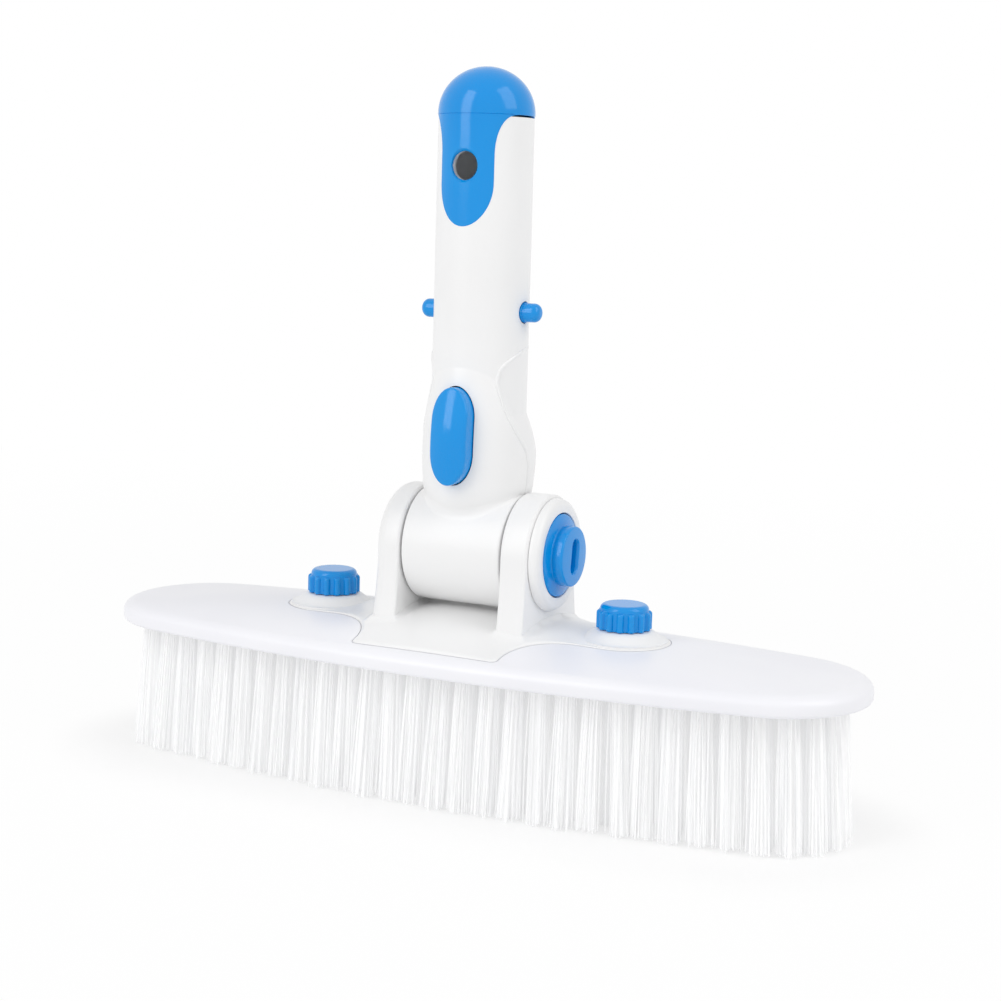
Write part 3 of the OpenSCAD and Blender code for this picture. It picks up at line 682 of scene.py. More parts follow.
@dataclass
class BracketPlan:
    """The outline of the bracket's base, seen from above."""

    lug: float = 14.3
    half_w: float = 24.5
    half_d: float = 34.0
    hollow: float = 17.7
    corner: float = 1.6
    outside: float = 90.0

    def distance(self, x: np.ndarray, y: np.ndarray) -> np.ndarray:
        """Signed distance to the outline, below zero inside.

        The middle is a box, each lug a rounded bar, and the corner between them a hollow arc.

        Args:
            x: places along the head.
            y: places across the head.

        Returns:
            Distances.
        """
        ax, ay = np.abs(x), np.abs(y)
        qx, qy = ax - self.half_w + self.corner, ay - self.half_d + self.corner
        box = np.hypot(np.maximum(qx, 0), np.maximum(qy, 0)) + np.minimum(np.maximum(qx, qy), 0) - self.corner
        bar = np.where(ax < KNOB_X, ay, np.hypot(ax - KNOB_X, ay)) - self.lug
        u, v = ax - self.half_w - self.hollow, ay - self.lug - self.hollow
        arc = np.where((u < 0) & (v < 0), self.hollow - np.hypot(u, v), 1e3)
        return np.minimum(np.minimum(box, bar), arc)

    def reach(self, turn: np.ndarray) -> np.ndarray:
        """How far the outline is from the middle in each direction.

        Args:
            turn: directions in radians.

        Returns:
            Distances.
        """
        return edge_of(lambda far: self.distance(far * np.cos(turn), far * np.sin(turn)) < 0,
                       np.zeros_like(turn), np.full_like(turn, self.outside))


@dataclass
class BrushPlate:
    """The crowned oval plate that holds the bristles."""

    length: float = 254.0
    width: float = 78.0
    end_radius: float = 30.0
    low: float = 41.5
    rim: float = 6.4
    inset: float = 4.0
    crown: float = 5.0
    edge: float = 1.2
    steps: int = 360

    def __post_init__(self) -> None:
        """Works out the oval's arcs, which meet smoothly."""
        a, b, r = self.length / 2, self.width / 2, self.end_radius
        self.end_x = a - r
        self.side_radius = (self.end_x ** 2 + b ** 2 - r ** 2) / (2 * (b - r))
        self.side_angle = math.asin(self.end_x / (self.side_radius - r))

    def oval(self, inset: np.ndarray, turn: np.ndarray) -> np.ndarray:
        """Points of the oval drawn in by inset, by the direction of the outline's normal.

        The normal's direction says which arc a point is on: the end arcs carry it past the side arcs' angle.

        Args:
            inset: distances inwards.
            turn: directions of the outward normal, in radians.

        Returns:
            An array of x and y.
        """
        c, s = np.cos(turn), np.sin(turn)
        on_end = np.abs(c) > math.sin(self.side_angle)
        r = np.where(on_end, self.end_radius, self.side_radius) - inset
        cx = np.where(on_end, np.sign(c) * self.end_x, 0.0)
        cy = np.where(on_end, 0.0, -np.sign(s) * (self.side_radius - self.width / 2))
        return np.stack([cx + r * c, cy + r * s], axis=-1)

    def turns(self) -> np.ndarray:
        """Directions round the outline, spread so that the points are about evenly spaced.

        Returns:
            Angles in radians.
        """
        fine = np.linspace(0, TURN, 20001)
        way = np.diff(self.oval(np.zeros_like(fine), fine), axis=0)
        run = np.concatenate([[0], np.cumsum(np.hypot(way[:, 0], way[:, 1]))])
        return np.interp(np.linspace(0, run[-1], self.steps, endpoint=False), run, fine)

    def build(self, finish: Finish, base: BracketPlan) -> bpy.types.Object:
        """The plate: rings from the underside's middle, round the rim and up to the crown's top.

        Args:
            finish: the plate's finish.
            base: the bracket's outline, whose distance is stored for the joint line's painted shade.

        Returns:
            The piece.
        """
        turn = self.turns()
        rim_z = self.low + self.rim
        slope = math.atan(2 * self.crown / (self.width / 2 - self.inset))
        round_up = np.linspace(0, QUARTER, 7)
        shoulder = np.linspace(0, QUARTER - slope, 15)
        rings = [(self.edge * (1 - math.sin(t)), self.low + self.edge * (1 - math.cos(t)), 1.0)
                 for t in round_up]
        rings += [(self.inset * (1 - math.cos(t)) / (1 - math.sin(slope)),
                   rim_z - self.rim / 2 * (1 - math.sin(t) / math.cos(slope)), 1.0) for t in shoulder]
        under = [(self.edge, self.low, share) for share in np.linspace(0.0, 0.98, 12)]
        shares = np.sqrt(np.linspace(1.0, 0.0, 90))[1:]
        top = [(self.inset, rim_z + self.crown * (1 - share ** 2), share) for share in shares]
        inset, z, share = (np.array(v)[:, None] for v in zip(*(under + rings + top)))
        flat = self.oval(inset, turn[None, :]) * share[..., None]
        points = np.concatenate([flat, np.broadcast_to(z[..., None], flat.shape[:2] + (1,))], axis=-1)
        mesh = ringed(points, "plate_moulding")
        at = np.empty(len(mesh.vertices) * 3)
        mesh.vertices.foreach_get("co", at)
        x, y, z = at.reshape(-1, 3).T / MM
        far = np.where(z > self.low + self.rim / 2, base.distance(x, y), 99.0)
        mesh.attributes.new("seat_distance", "FLOAT", "POINT").data.foreach_set("value", far.astype(np.float32))
        return dress(mesh, "plate_moulding", Body.HEAD, finish, ("brush_plate",), sharp=50)


@dataclass
class BristleField:
    """Tufts of nylon filaments in curved rows under the plate."""

    plate: BrushPlate
    columns: int = 28
    rows: int = 7
    margin: float = 10.5
    bed_margin: float = 5.5
    end_bow: float = 0.77
    filaments: int = 84
    rings: int = 5
    tuft_half: float = 3.15
    tuft_squash: float = 0.85
    tuft_lean: float = 0.5
    tuft_cut: float = 0.4
    flare: float = 1.3
    splay: tuple[float, float] = (2.2, 2.6)
    scatter: float = 0.4
    bend: float = 0.7
    radius: float = 0.25
    taper: float = 0.2
    root_depth: float = 0.8
    uneven: float = 2.0
    uneven_shape: tuple[float, float] = (1.2, 2.6)
    seed: int = 7

    def tuft_places(self, row: int) -> np.ndarray:
        """Middles of a row's tufts: each row keeps its share of the field's width and follows the oval.

        Args:
            row: the row's number.

        Returns:
            An array of x and y.
        """
        share = 2 * row / (self.rows - 1) - 1
        bow = math.sqrt(1 - (self.end_bow * share) ** 2)
        half = self.plate.end_x + (self.plate.end_radius - self.bed_margin) * bow
        x = ((2 * np.arange(self.columns) + 1) / self.columns - 1) * half
        r = self.plate.side_radius - self.margin
        y = share * (np.sqrt(r * r - x * x) - (self.plate.side_radius - self.plate.width / 2))
        return np.stack([x, y], axis=-1)

    def row_points(self, row: int) -> tuple[np.ndarray, np.ndarray, np.ndarray]:
        """The filaments of one row.

        A filament runs from a random place in its tuft's round root to a tip that is spread by the flare, leans
        outwards, and bends by a random amount that grows with the square of the way down.

        Args:
            row: the row's number.

        Returns:
            Points by filament, ring and side; how far along each ring is; and each filament's own number.
        """
        rng = np.random.default_rng(self.seed + row)
        tufts = np.repeat(self.tuft_places(row), self.filaments, axis=0)
        n = len(tufts)
        angle, out = rng.uniform(0, TURN, n), self.tuft_half * np.sqrt(rng.uniform(0, 1, n))
        root = np.stack([out * np.cos(angle), self.tuft_squash * out * np.sin(angle)], axis=-1)
        tuft_lean = np.repeat(rng.normal(0, self.tuft_lean, (self.columns, 2)), self.filaments, axis=0)
        splay = np.array(self.splay) / (self.plate.length / 2, self.plate.width / 2)
        tip = root * self.flare + (tufts * splay + tuft_lean) + rng.normal(0, self.scatter, (n, 2))
        bend = rng.normal(0, self.bend, (n, 2))
        tuft_cut = np.repeat(rng.uniform(0, self.tuft_cut, self.columns), self.filaments)
        low = np.clip(self.uneven * rng.beta(*self.uneven_shape, n) + tuft_cut, 0.0, None)
        t = np.linspace(0, 1, self.rings)[None, :, None]
        line = tufts[:, None] + root[:, None] * (1 - t) + tip[:, None] * t + bend[:, None] * (t * t - t)
        high = self.plate.low + self.root_depth
        z = high + (low[:, None] - high) * t[..., 0]
        turn = rng.uniform(0, TURN, n)[:, None] + np.array([0, 2, 4]) * math.pi / 3
        size = self.radius * (1 - self.taper * t[..., 0])
        ring = np.stack([np.cos(turn), np.sin(turn)], axis=-1)[:, None] * size[:, :, None, None]
        points = np.concatenate([line[:, :, None, :] + ring,
                                 np.broadcast_to(z[:, :, None, None], (n, self.rings, 3, 1))], axis=-1)
        return points, np.broadcast_to(t[..., 0], (n, self.rings)), rng.uniform(0, 1, n)

    def build(self, finish: Finish) -> list[bpy.types.Object]:
        """Every row as a piece of its own.

        Args:
            finish: the filaments' finish.

        Returns:
            The pieces.
        """
        return [self._row(row, finish) for row in range(self.rows)]

    def _row(self, row: int, finish: Finish) -> bpy.types.Object:
        """Stores one row of three-sided filaments with closed tips.

        Args:
            row: the row's number.
            finish: the filaments' finish.

        Returns:
            The piece.
        """
        points, along, own = self.row_points(row)
        n, m = points.shape[:2]
        start = (np.arange(n) * m * 3)[:, None, None]
        k, side = np.arange(m - 1)[None, :, None] * 3, np.arange(3)[None, None, :]
        a, b = start + k + side, start + k + (side + 1) % 3
        quads = np.stack([a, a + 3, b + 3, b], axis=-1).reshape(-1, 4)
        tips = (start[:, 0] + (m - 1) * 3 + np.array([[2, 1, 0]])).reshape(-1, 3)
        roots = (start[:, 0] + np.array([[0, 1, 2]])).reshape(-1, 3)
        mesh = bpy.data.meshes.new(f"bristle_row_{row + 1}")
        mesh.from_pydata((points.reshape(-1, 3) * MM).tolist(), [],
                         quads.tolist() + tips.tolist() + roots.tolist())
        for name, value in (("along", np.repeat(along.reshape(-1), 3)), ("own", np.repeat(own, m * 3))):
            mesh.attributes.new(name, "FLOAT", "POINT").data.foreach_set("value", value.astype(np.float32))
        return dress(mesh, f"bristle_row_{row + 1}", Body.HEAD, finish, ("bristle_tufts",), sharp=80)


@dataclass
class Bracket:
    """The base with its saddle, the two ears, the ring boss and the bosses under the knobs."""

    plan: BracketPlan
    base_z: float = 53.4
    along_r: float = 1512.9
    across_r: float = 122.5
    saddle_rise: float = 3.4
    saddle_x: float = 38.0
    saddle_y: float = 34.7
    blend: float = 1.0
    edge: float = 0.9
    skirt: tuple[float, float] = (9.0, 3.0)
    ear_in: float = 17.3
    ear_out: float = 26.1
    ear_r: float = 18.3
    ear_middle: float = -6.0
    ear_reach: float = 60.0
    ear_edge: float = 0.9
    left_edge: float = 4.2
    face_step: float = 0.3
    foot_h: float = -28.0
    foot_flare: float = 2.7
    foot_half: float = 19.7
    fillet: float = 2.4
    foot_rise: float = 1.2
    ring_r: float = 17.3
    ring_x: float = 29.3
    ring_edge: float = 2.8
    ring_groove: tuple[float, float] = (0.45, 0.35)
    ring_sink: tuple[float, float] = (0.1, 0.5)
    seat_x: float = 26.9
    seat_r: float = 13.05
    seat_edge: float = 0.3
    mound_r: tuple[float, float] = (7.6, 13.5)
    mound_z: tuple[float, float] = (52.3, 55.2)
    mound_low: float = 51.0
    axle: Pairs = ((5.3, -23.6), (5.3, 31.0))

    def height(self, x: np.ndarray, y: np.ndarray) -> np.ndarray:
        """Height of the base's top: the crown, the saddle that melts into it, and the fillets at the ears.

        Args:
            x: places along the head.
            y: places across the head.

        Returns:
            Heights.
        """
        crown = self.base_z - x ** 2 / (2 * self.along_r) - y ** 2 / (2 * self.across_r)
        rise = self.saddle_rise * (1 - (np.abs(x) / self.saddle_x) ** 2 - (np.abs(y) / self.saddle_y) ** 2)
        share = np.clip(0.5 + 0.5 * rise / self.blend, 0, 1)
        top = crown + rise * share + self.blend * share * (1 - share)
        ax, ay = np.abs(x), np.abs(y)
        off = np.maximum(np.maximum(self.ear_in - ax, ax - self.ear_out), 0)
        near = np.hypot(off, np.maximum(ay - self.foot_half, 0))
        return top + self.foot_rise * np.clip(1 - near / self.fillet, 0, 1) ** 2

    def base(self, turns: int = 480, rings: int = 120) -> np.ndarray:
        """Pairs of the base, from its skirt in the plate over the rounded edge to the middle.

        Args:
            turns: points round each ring.
            rings: rings across the top.

        Returns:
            A grid of points.
        """
        turn = np.linspace(0, TURN, turns, endpoint=False)[None, :]
        reach = self.plan.reach(turn)
        a = np.linspace(0, QUARTER, 7)[:, None]
        inset = np.concatenate([[[0.0]], self.edge * (1 - np.cos(a))])
        drop = np.concatenate([np.array(self.skirt)[:, None], self.edge * (1 - np.sin(a)),
                               np.zeros((rings, 1))])
        share = np.concatenate([np.zeros_like(reach), 1 - inset / reach,
                                np.linspace(1, 0, rings + 1)[1:, None] * (1 - self.edge / reach)])
        x, y = share * reach * np.cos(turn), share * reach * np.sin(turn)
        return np.stack([x, y, self.height(x, y) - drop], axis=-1)

    def ear(self, inner: float, outer: float, inner_edge: float, outer_edge: float) -> np.ndarray:
        """An ear: its outline, seen from the side, carried across with rounded edges.

        Args:
            inner: place of the inner face along the head.
            outer: place of the outer face.
            inner_edge: rounding of the inner edge.
            outer_edge: rounding of the outer edge.

        Returns:
            A grid of points.
        """
        turn = np.linspace(0, TURN, 240, endpoint=False)[None, :]
        c, s = np.cos(turn), np.sin(turn)

        def inside(far: np.ndarray) -> np.ndarray:
            """Which points, that far from the outline's middle, lie in the round top or the flared leg."""
            y, h = np.abs(far * c), self.ear_middle + far * s
            leg = self.ear_r + self.foot_flare * np.clip(h / self.foot_h, 0, 1) ** 2
            return np.where(h > 0, np.hypot(y, h) < self.ear_r, (y < leg) & (h > self.foot_h))

        reach = edge_of(inside, np.zeros_like(turn), np.full_like(turn, self.ear_reach))
        way = math.copysign(1, outer - inner)
        a = np.linspace(0, QUARTER, 9)
        rows = [(self.face_step + inner_edge, inner)]
        rows += [(inner_edge * (1 - math.sin(t)), inner + way * inner_edge * (1 - math.cos(t))) for t in a]
        rows += [(outer_edge * (1 - math.cos(t)), outer - way * outer_edge * (1 - math.sin(t))) for t in a]
        rows += [(self.face_step + outer_edge, outer)]
        inset, x = (np.array(v)[:, None] for v in zip(*rows))
        r = np.pad(reach - inset, ((1, 1), (0, 0)))
        x = np.broadcast_to(np.pad(x, ((1, 1), (0, 0)), mode="edge"), r.shape)
        return np.stack([x, r * c, r * s + self.ear_middle + PIVOT_Z], axis=-1)

    def build(self, finish: Finish) -> list[bpy.types.Object]:
        """The bracket's forms, with room for the axle.

        Args:
            finish: their finish.

        Returns:
            The pieces.
        """
        draw_in, groove_h = self.ring_groove
        ring = soft_profile(((0, self.seat_x, 0), (self.seat_r, self.seat_x, 0),
                             (self.seat_r, self.ring_x, self.seat_edge),
                             (self.ring_r, self.ring_x, self.ring_edge),
                             (self.ring_r, self.ear_out + groove_h, 0),
                             (self.ring_r - draw_in, self.ear_out - self.ring_sink[0], 0),
                             (0, self.ear_out - self.ring_sink[1], 0)), 12)
        (inner, outer), (low, high) = self.mound_r, self.mound_z
        r = np.linspace(inner, outer, 20)
        wave = 1 + np.cos(math.pi * (r - inner) / (outer - inner))
        mound = np.stack([r, low + (high - low) / 2 * wave], axis=-1)
        boss = np.concatenate([[[0, high]], mound, [[outer, self.mound_low], [0, self.mound_low]]])
        bosses = MeshParts()
        for side in SIDES:
            bosses.grid(turned(boss, Axis.Z, (side * KNOB_X, 0, 0)), wrap_v=True)
        pierced = {"left_ear": self.ear(-self.ear_in, -self.ear_out, self.ear_edge, self.left_edge),
                   "right_ear": self.ear(self.ear_in, self.ear_out, self.ear_edge, self.ear_edge),
                   "ring_boss": turned(ring, Axis.X, (0, 0, PIVOT_Z))}
        forms = {"bracket_base": ringed(self.base(), "bracket_base")}
        forms |= {name: carved(ringed(points, name), [rod(Axis.X, (0, 0, PIVOT_Z), self.axle)])
                  for name, points in pierced.items()}
        forms["knob_bosses"] = bosses.mesh("knob_bosses")
        return [dress(form, name, Body.HEAD, finish, ("pivot_bracket",)) for name, form in forms.items()]


@dataclass
class HandleMoulding:
    """The neck, its barrel and the tube, as one smooth form with raised parting lines.

    Heights are above the pivot. Angles run round the handle from the button's side.
    """

    tube_r: float = 14.72
    tube_top: float = 131.9
    swell_r: float = 17.2
    swell_h: float = 29.6
    front_end: float = 52.6
    rear_end: float = 42.2
    ball_h: float = 21.6
    barrel_r: float = 17.9
    barrel_half: float = 16.7
    barrel_edge: float = 0.9
    vertex: tuple[float, float] = (-10.1, 52.3)
    upper: Pairs = ((-9.5, 55.9), (-7.6, 58.2), (-4.7, 60.0), (-1.5, 61.4), (1.0, 62.1), (4.0, 62.5))
    lower: Pairs = ((-8.9, 47.0), (-7.2, 41.8), (-4.6, 36.5), (-1.3, 31.3), (-0.1, 27.0), (0.0, 22.0),
                    (0.0, 15.0))
    back_h: float = 62.6
    back_turn: tuple[float, float] = (0.45, 1.55)
    line_points: int = 220
    line_soften: int = 13
    bead: float = 0.44
    bead_half: float = 0.65
    bead_foot: float = 0.15
    bead_sink: float = 0.4
    bead_lap: float = 1.5
    bead_fade: float = 0.75
    fade_turn: tuple[float, float] = (1.4, 1.7)
    fade_h: tuple[float, float] = (54.0, 60.0)
    blend: float = 2.6
    rear_bulge: float = 0.9
    bulge_top: tuple[float, float] = (1, 14)
    bulge_foot: tuple[float, float] = (8, 28)
    arch: float = 4.0
    arch_half: float = 0.85
    arch_low: float = -0.6
    arch_h: tuple[float, float] = (32.0, 48.0)
    neck_top: float = 68.0
    tube_low: float = 70.0
    ball_blend: float = -1.2
    fillet: float = 3.2
    fillet_end: float = 0.12
    fillet_run: float = 7.0
    fillet_tuck: Point = (0.97, 0.97, 1.0)
    fillet_drop: Point = (0, 0, 0.3)
    draft: float = 0.0068
    draft_h: float = 34.4
    cord_hole: Pairs = ((5.6, -20), (5.6, -13.3), (CORD_R, -13.3), (CORD_R, 13.3), (5.6, 13.3), (5.6, 20))
    pin_h: float = 73.4
    pin_hole: Pairs = ((3.4, -20.0), (3.4, 20.0))
    tube_bore: Pairs = ((12.1, 64.8), (12.1, 130.5))
    neck_bore: Pairs = ((4.6, 2.0), (4.6, 17.5), (13.4, 17.5), (13.4, 45.3))
    barrel_bore: Pairs = ((7.6, -20), (7.6, -13.6), (15.1, -13.6), (15.1, 13.6), (7.6, 13.6), (7.6, 20))
    screw_hole: Pairs = ((2.7, 10.0), (2.7, 20.0))
    neck_screws: tuple[float, float] = (10.4, 28.1)
    barrel_screws: tuple[float, float] = (9.6, -11.2)
    turns: int = 320

    def swell(self, h: np.ndarray, end: float) -> np.ndarray:
        """Radius of the neck whose swell runs out into the tube at the given height.

        Args:
            h: heights.
            end: where the swell ends.

        Returns:
            Radii.
        """
        step = self.swell_r - self.tube_r
        arc_low, arc_high = (((e - self.swell_h) ** 2 + step ** 2) / (2 * step) for e in (self.front_end, end))
        arc = np.where(h < self.swell_h, arc_low, arc_high)
        away = np.where(h < end, h - self.swell_h, end - self.swell_h)
        return self.swell_r - arc + np.sqrt(arc ** 2 - away ** 2)

    def parting(self) -> np.ndarray:
        """The raised parting line in the side view: round the back, down to a point and on to the barrel.

        Returns:
            Points across and up, evenly spaced and smoothed.
        """
        back = self.tube_r * np.sin(np.linspace(*self.back_turn, 12))
        back = np.stack([back, np.full_like(back, self.back_h)], axis=-1)
        rough = np.concatenate([back[::-1], self.upper[::-1], [self.vertex], self.lower])
        way = np.concatenate([[0], np.cumsum(np.linalg.norm(np.diff(rough, axis=0), axis=1))])
        even = np.linspace(0, way[-1], self.line_points)
        line = np.stack([np.interp(even, way, rough[:, k]) for k in (0, 1)], axis=-1)
        weight = np.hanning(self.line_soften) / np.hanning(self.line_soften).sum()
        padded = np.pad(line, ((self.line_soften // 2,) * 2, (0, 0)), mode="edge")
        return np.stack([np.convolve(padded[:, k], weight, "valid") for k in (0, 1)], axis=-1)

    def radius(self, turn: np.ndarray, h: np.ndarray) -> np.ndarray:
        """The outside's radius: front and rear swells that melt together across the lower line.

        The front swell ends higher on the button's side, in an arch, and the rear one bulges above the barrel.
        The tube thins a little towards its top.

        Args:
            turn: angles from the button's side, up to half a turn.
            h: heights.

        Returns:
            Radii.
        """
        bow = np.clip(1 - (turn / self.arch_half) ** 2, self.arch_low, 1)
        raised = self.arch * bow * smooth(h, *self.arch_h)
        front, rear = self.swell(h - raised, self.front_end), self.swell(h, self.rear_end)
        bulge = smooth(self.rear_end - h, *self.bulge_top) * smooth(h, *self.bulge_foot)
        rear = rear + self.rear_bulge * bulge
        lower = self.parting()[::-1]
        lower = lower[lower[:, 1] <= self.vertex[1]]
        seam = np.arccos(np.clip(-np.interp(h, lower[:, 1], lower[:, 0]) / front, -1, 1))
        past = (turn - seam) * self.tube_r
        r = front + (rear - front) * smooth(past, -self.blend, self.blend)
        return r * (1 - self.draft * np.clip((h - self.tube_top + self.draft_h) / self.draft_h, 0, 1))

    def beads(self) -> MeshParts:
        """The raised line, as a low rounded strip that follows the outside on both sides.

        Returns:
            The strips.
        """
        across = np.linspace(-1, 1, 11)
        line = self.parting()
        at = np.stack([np.arccos(np.clip(-line[:, 0] / self.tube_r, -1, 1)) * self.tube_r, line[:, 1]], axis=-1)
        back = np.linspace(math.pi * self.tube_r + self.bead_lap, at[0, 0] + 0.5, 8)
        at = np.concatenate([np.stack([back, np.full_like(back, at[0, 1])], axis=-1), at])
        way = np.gradient(at, axis=0)
        way /= np.linalg.norm(way, axis=1, keepdims=True)
        side = np.stack([-way[:, 1], way[:, 0]], axis=-1)
        flat = at[:, None] + side[:, None] * (across * self.bead_half)[None, :, None]
        turn, h = flat[..., 0] / self.tube_r, flat[..., 1]
        out = self.radius(turn, h)
        behind = smooth(at[:, :1] / self.tube_r, *self.fade_turn) * smooth(at[:, 1:], *self.fade_h)
        arc = (1 + self.bead_foot) * np.sqrt(1 - across ** 2) - self.bead_foot
        top = out + self.bead * (1 - self.bead_fade * behind) * arc
        top[[0, -1]] = out[[0, -1]] - self.bead_sink
        turn = np.concatenate([turn, turn[:, ::-1]], axis=1)
        r = np.concatenate([top, out[:, ::-1] - self.bead_sink], axis=1)
        z = np.concatenate([h, h[:, ::-1]], axis=1) + PIVOT_Z
        parts = MeshParts()
        for mirror in SIDES:
            parts.grid(np.stack([mirror * r * np.sin(turn), -r * np.cos(turn), z], axis=-1), wrap_v=True)
        return parts

    def neck(self) -> np.ndarray:
        """Pairs from the ball's underside up the neck and the tube.

        Returns:
            A grid of points.
        """
        ball_r = float(self.swell(np.array(self.ball_h), self.front_end))
        dip = np.linspace(-QUARTER, 0, 26)[:-1]
        heights = np.concatenate([np.linspace(self.ball_h, self.neck_top, 140),
                                  np.linspace(self.tube_low, self.tube_top, 30)])
        turn = np.linspace(0, TURN, self.turns, endpoint=False)
        folded = np.minimum(turn, TURN - turn)[None, :]
        r = self.radius(folded, heights[:, None])
        low = self.radius(folded, np.full((1, 1), self.ball_h)) - ball_r
        ball = ball_r * np.cos(dip)[:, None] + low * smooth(dip, self.ball_blend, 0.0)[:, None]
        r = np.concatenate([np.zeros((1, self.turns)), ball, r, np.zeros((1, self.turns))])
        h = np.concatenate([[self.ball_h - ball_r], self.ball_h + ball_r * np.sin(dip), heights,
                            [self.tube_top]])
        z = np.broadcast_to(h[:, None] + PIVOT_Z, r.shape)
        return np.stack([r * np.sin(turn), -r * np.cos(turn), z], axis=-1)

    def crease(self) -> np.ndarray:
        """A hollow strip that fills the corner between the ball and the barrel.

        Round the neck, a quadratic curve leaves the ball above the corner, heads for the corner and ends on the
        barrel. The strip thins towards the barrel's ends, and a row inside closes it.

        Returns:
            A grid of points, round the neck.
        """
        ball_r = float(self.swell(np.array(self.ball_h), self.front_end))
        turn = np.linspace(0, TURN, self.turns, endpoint=False)

        def on_ball(dip: np.ndarray) -> np.ndarray:
            """Points of the ball, round the neck, at these angles from its middle."""
            out, h = ball_r * np.cos(dip), self.ball_h + ball_r * np.sin(dip)
            return np.stack([out * np.sin(turn), -out * np.cos(turn), h], axis=-1)

        def in_barrel(dip: np.ndarray) -> np.ndarray:
            """Which of those points lie inside the barrel."""
            _, y, h = on_ball(dip).T
            return y ** 2 + h ** 2 < self.barrel_r ** 2

        low = edge_of(in_barrel, np.full_like(turn, -QUARTER), np.zeros_like(turn))
        corner = on_ball(low)
        x, y, h = corner.T
        into = smooth(self.barrel_half - self.barrel_edge - np.abs(x), 0.0, self.fillet_run)
        size = self.fillet * (self.fillet_end + (1 - self.fillet_end) * into)
        start = on_ball(np.minimum(low + size / ball_r, 0.0))
        roll = np.arctan2(h, np.abs(y)) - size / self.barrel_r
        end = np.stack([x, np.sign(y + 1e-9) * self.barrel_r * np.cos(roll), self.barrel_r * np.sin(roll)],
                       axis=-1)
        hollow = quadratic(np.linspace(0, 1, 11)[:, None, None], start, corner, end)
        inner = corner * np.array(self.fillet_tuck) - np.array(self.fillet_drop)
        return np.concatenate([hollow, inner[None]]) + np.array([0, 0, PIVOT_Z])

    def build(self, finish: Finish, button: "ReleaseButton") -> list[bpy.types.Object]:
        """The neck and the barrel, hollowed for what moves inside them.

        Args:
            finish: their finish.
            button: the button, for its opening.

        Returns:
            The pieces.
        """
        nodes = ("front_shell", "rear_shell", "handle_tube")
        middle = (0, 0, PIVOT_Z)
        cuts = [pill_rod(Axis.Y, (0, 0, PIVOT_Z + button.middle), (button.length, button.width, button.end),
                         tuple((button.gap, place) for place in button.opening)),
                rod(Axis.Y, (0, 0, PIVOT_Z + CORD_H), self.cord_hole),
                rod(Axis.X, (0, 0, PIVOT_Z + self.pin_h), self.pin_hole),
                rod(Axis.Z, middle, self.tube_bore), rod(Axis.Z, middle, self.neck_bore)]
        bore = [rod(Axis.X, middle, self.barrel_bore)]
        for holes, (x, h) in ((cuts, self.neck_screws), (bore, self.barrel_screws)):
            holes += [rod(Axis.Y, (side * x, 0, PIVOT_Z + h), self.screw_hole, 32) for side in SIDES]
        barrel = soft_profile(((0, -self.barrel_half, 0), (self.barrel_r, -self.barrel_half, self.barrel_edge),
                               (self.barrel_r, self.barrel_half, self.barrel_edge),
                               (0, self.barrel_half, 0)), 8)
        forms = {"neck_moulding": carved(ringed(self.neck(), "neck_form"), cuts),
                 "barrel_moulding": carved(ringed(turned(barrel, Axis.X, middle, 192), "barrel_form"), bore),
                 "neck_fillet": ringed(self.crease(), "neck_fillet_form", wrap_u=True),
                 "parting_lines": self.beads().mesh("parting_lines_form")}
        return [dress(form, name, Body.HANDLE, finish, nodes) for name, form in forms.items()]


@dataclass
class ReleaseButton:
    """The blue pill on the neck: a crowned face with a soft edge."""

    middle: float = 36.0
    length: float = 29.6
    width: float = 12.0
    end: float = 9.4
    face: float = -22.2
    back: float = -12.0
    crown: float = 2.0
    cross_crown: float = 1.5
    tilt: float = 0.06
    edge: float = 0.6
    gap: float = 0.34
    opening: tuple[float, float] = (-6.0, -24.0)

    def build(self, finish: Finish) -> bpy.types.Object:
        """The button: its back, its wall, the rounded edge and the crowned face.

        Args:
            finish: its finish.

        Returns:
            The piece.
        """
        line, middle = pill_outline(self.length, self.width, self.end, 64, 40)
        a = np.linspace(0, QUARTER, 7)
        step = self.edge / (self.width / 2)
        share = np.concatenate([[0.0, 1.0, 1.0], 1 - step * (1 - np.cos(a)), np.linspace(1 - step, 0, 18)[1:]])
        drop = np.concatenate([[0.0, 0.0, self.edge + 0.3], self.edge * (1 - np.sin(a)), np.zeros(17)])
        flat = middle + (line - middle) * share[:, None, None]
        x, z = flat[..., 0], flat[..., 1]
        face = self.face + self.crown * (2 * z / self.length) ** 2
        face = face + self.cross_crown * (2 * x / self.width) ** 2 + self.tilt * z + drop[:, None]
        face[:2] = self.back
        mesh = ringed(np.stack([x, face, z + PIVOT_Z + self.middle], axis=-1), "button_form")
        return dress(mesh, "button_pill", Body.BUTTON, finish, ("release_button",))


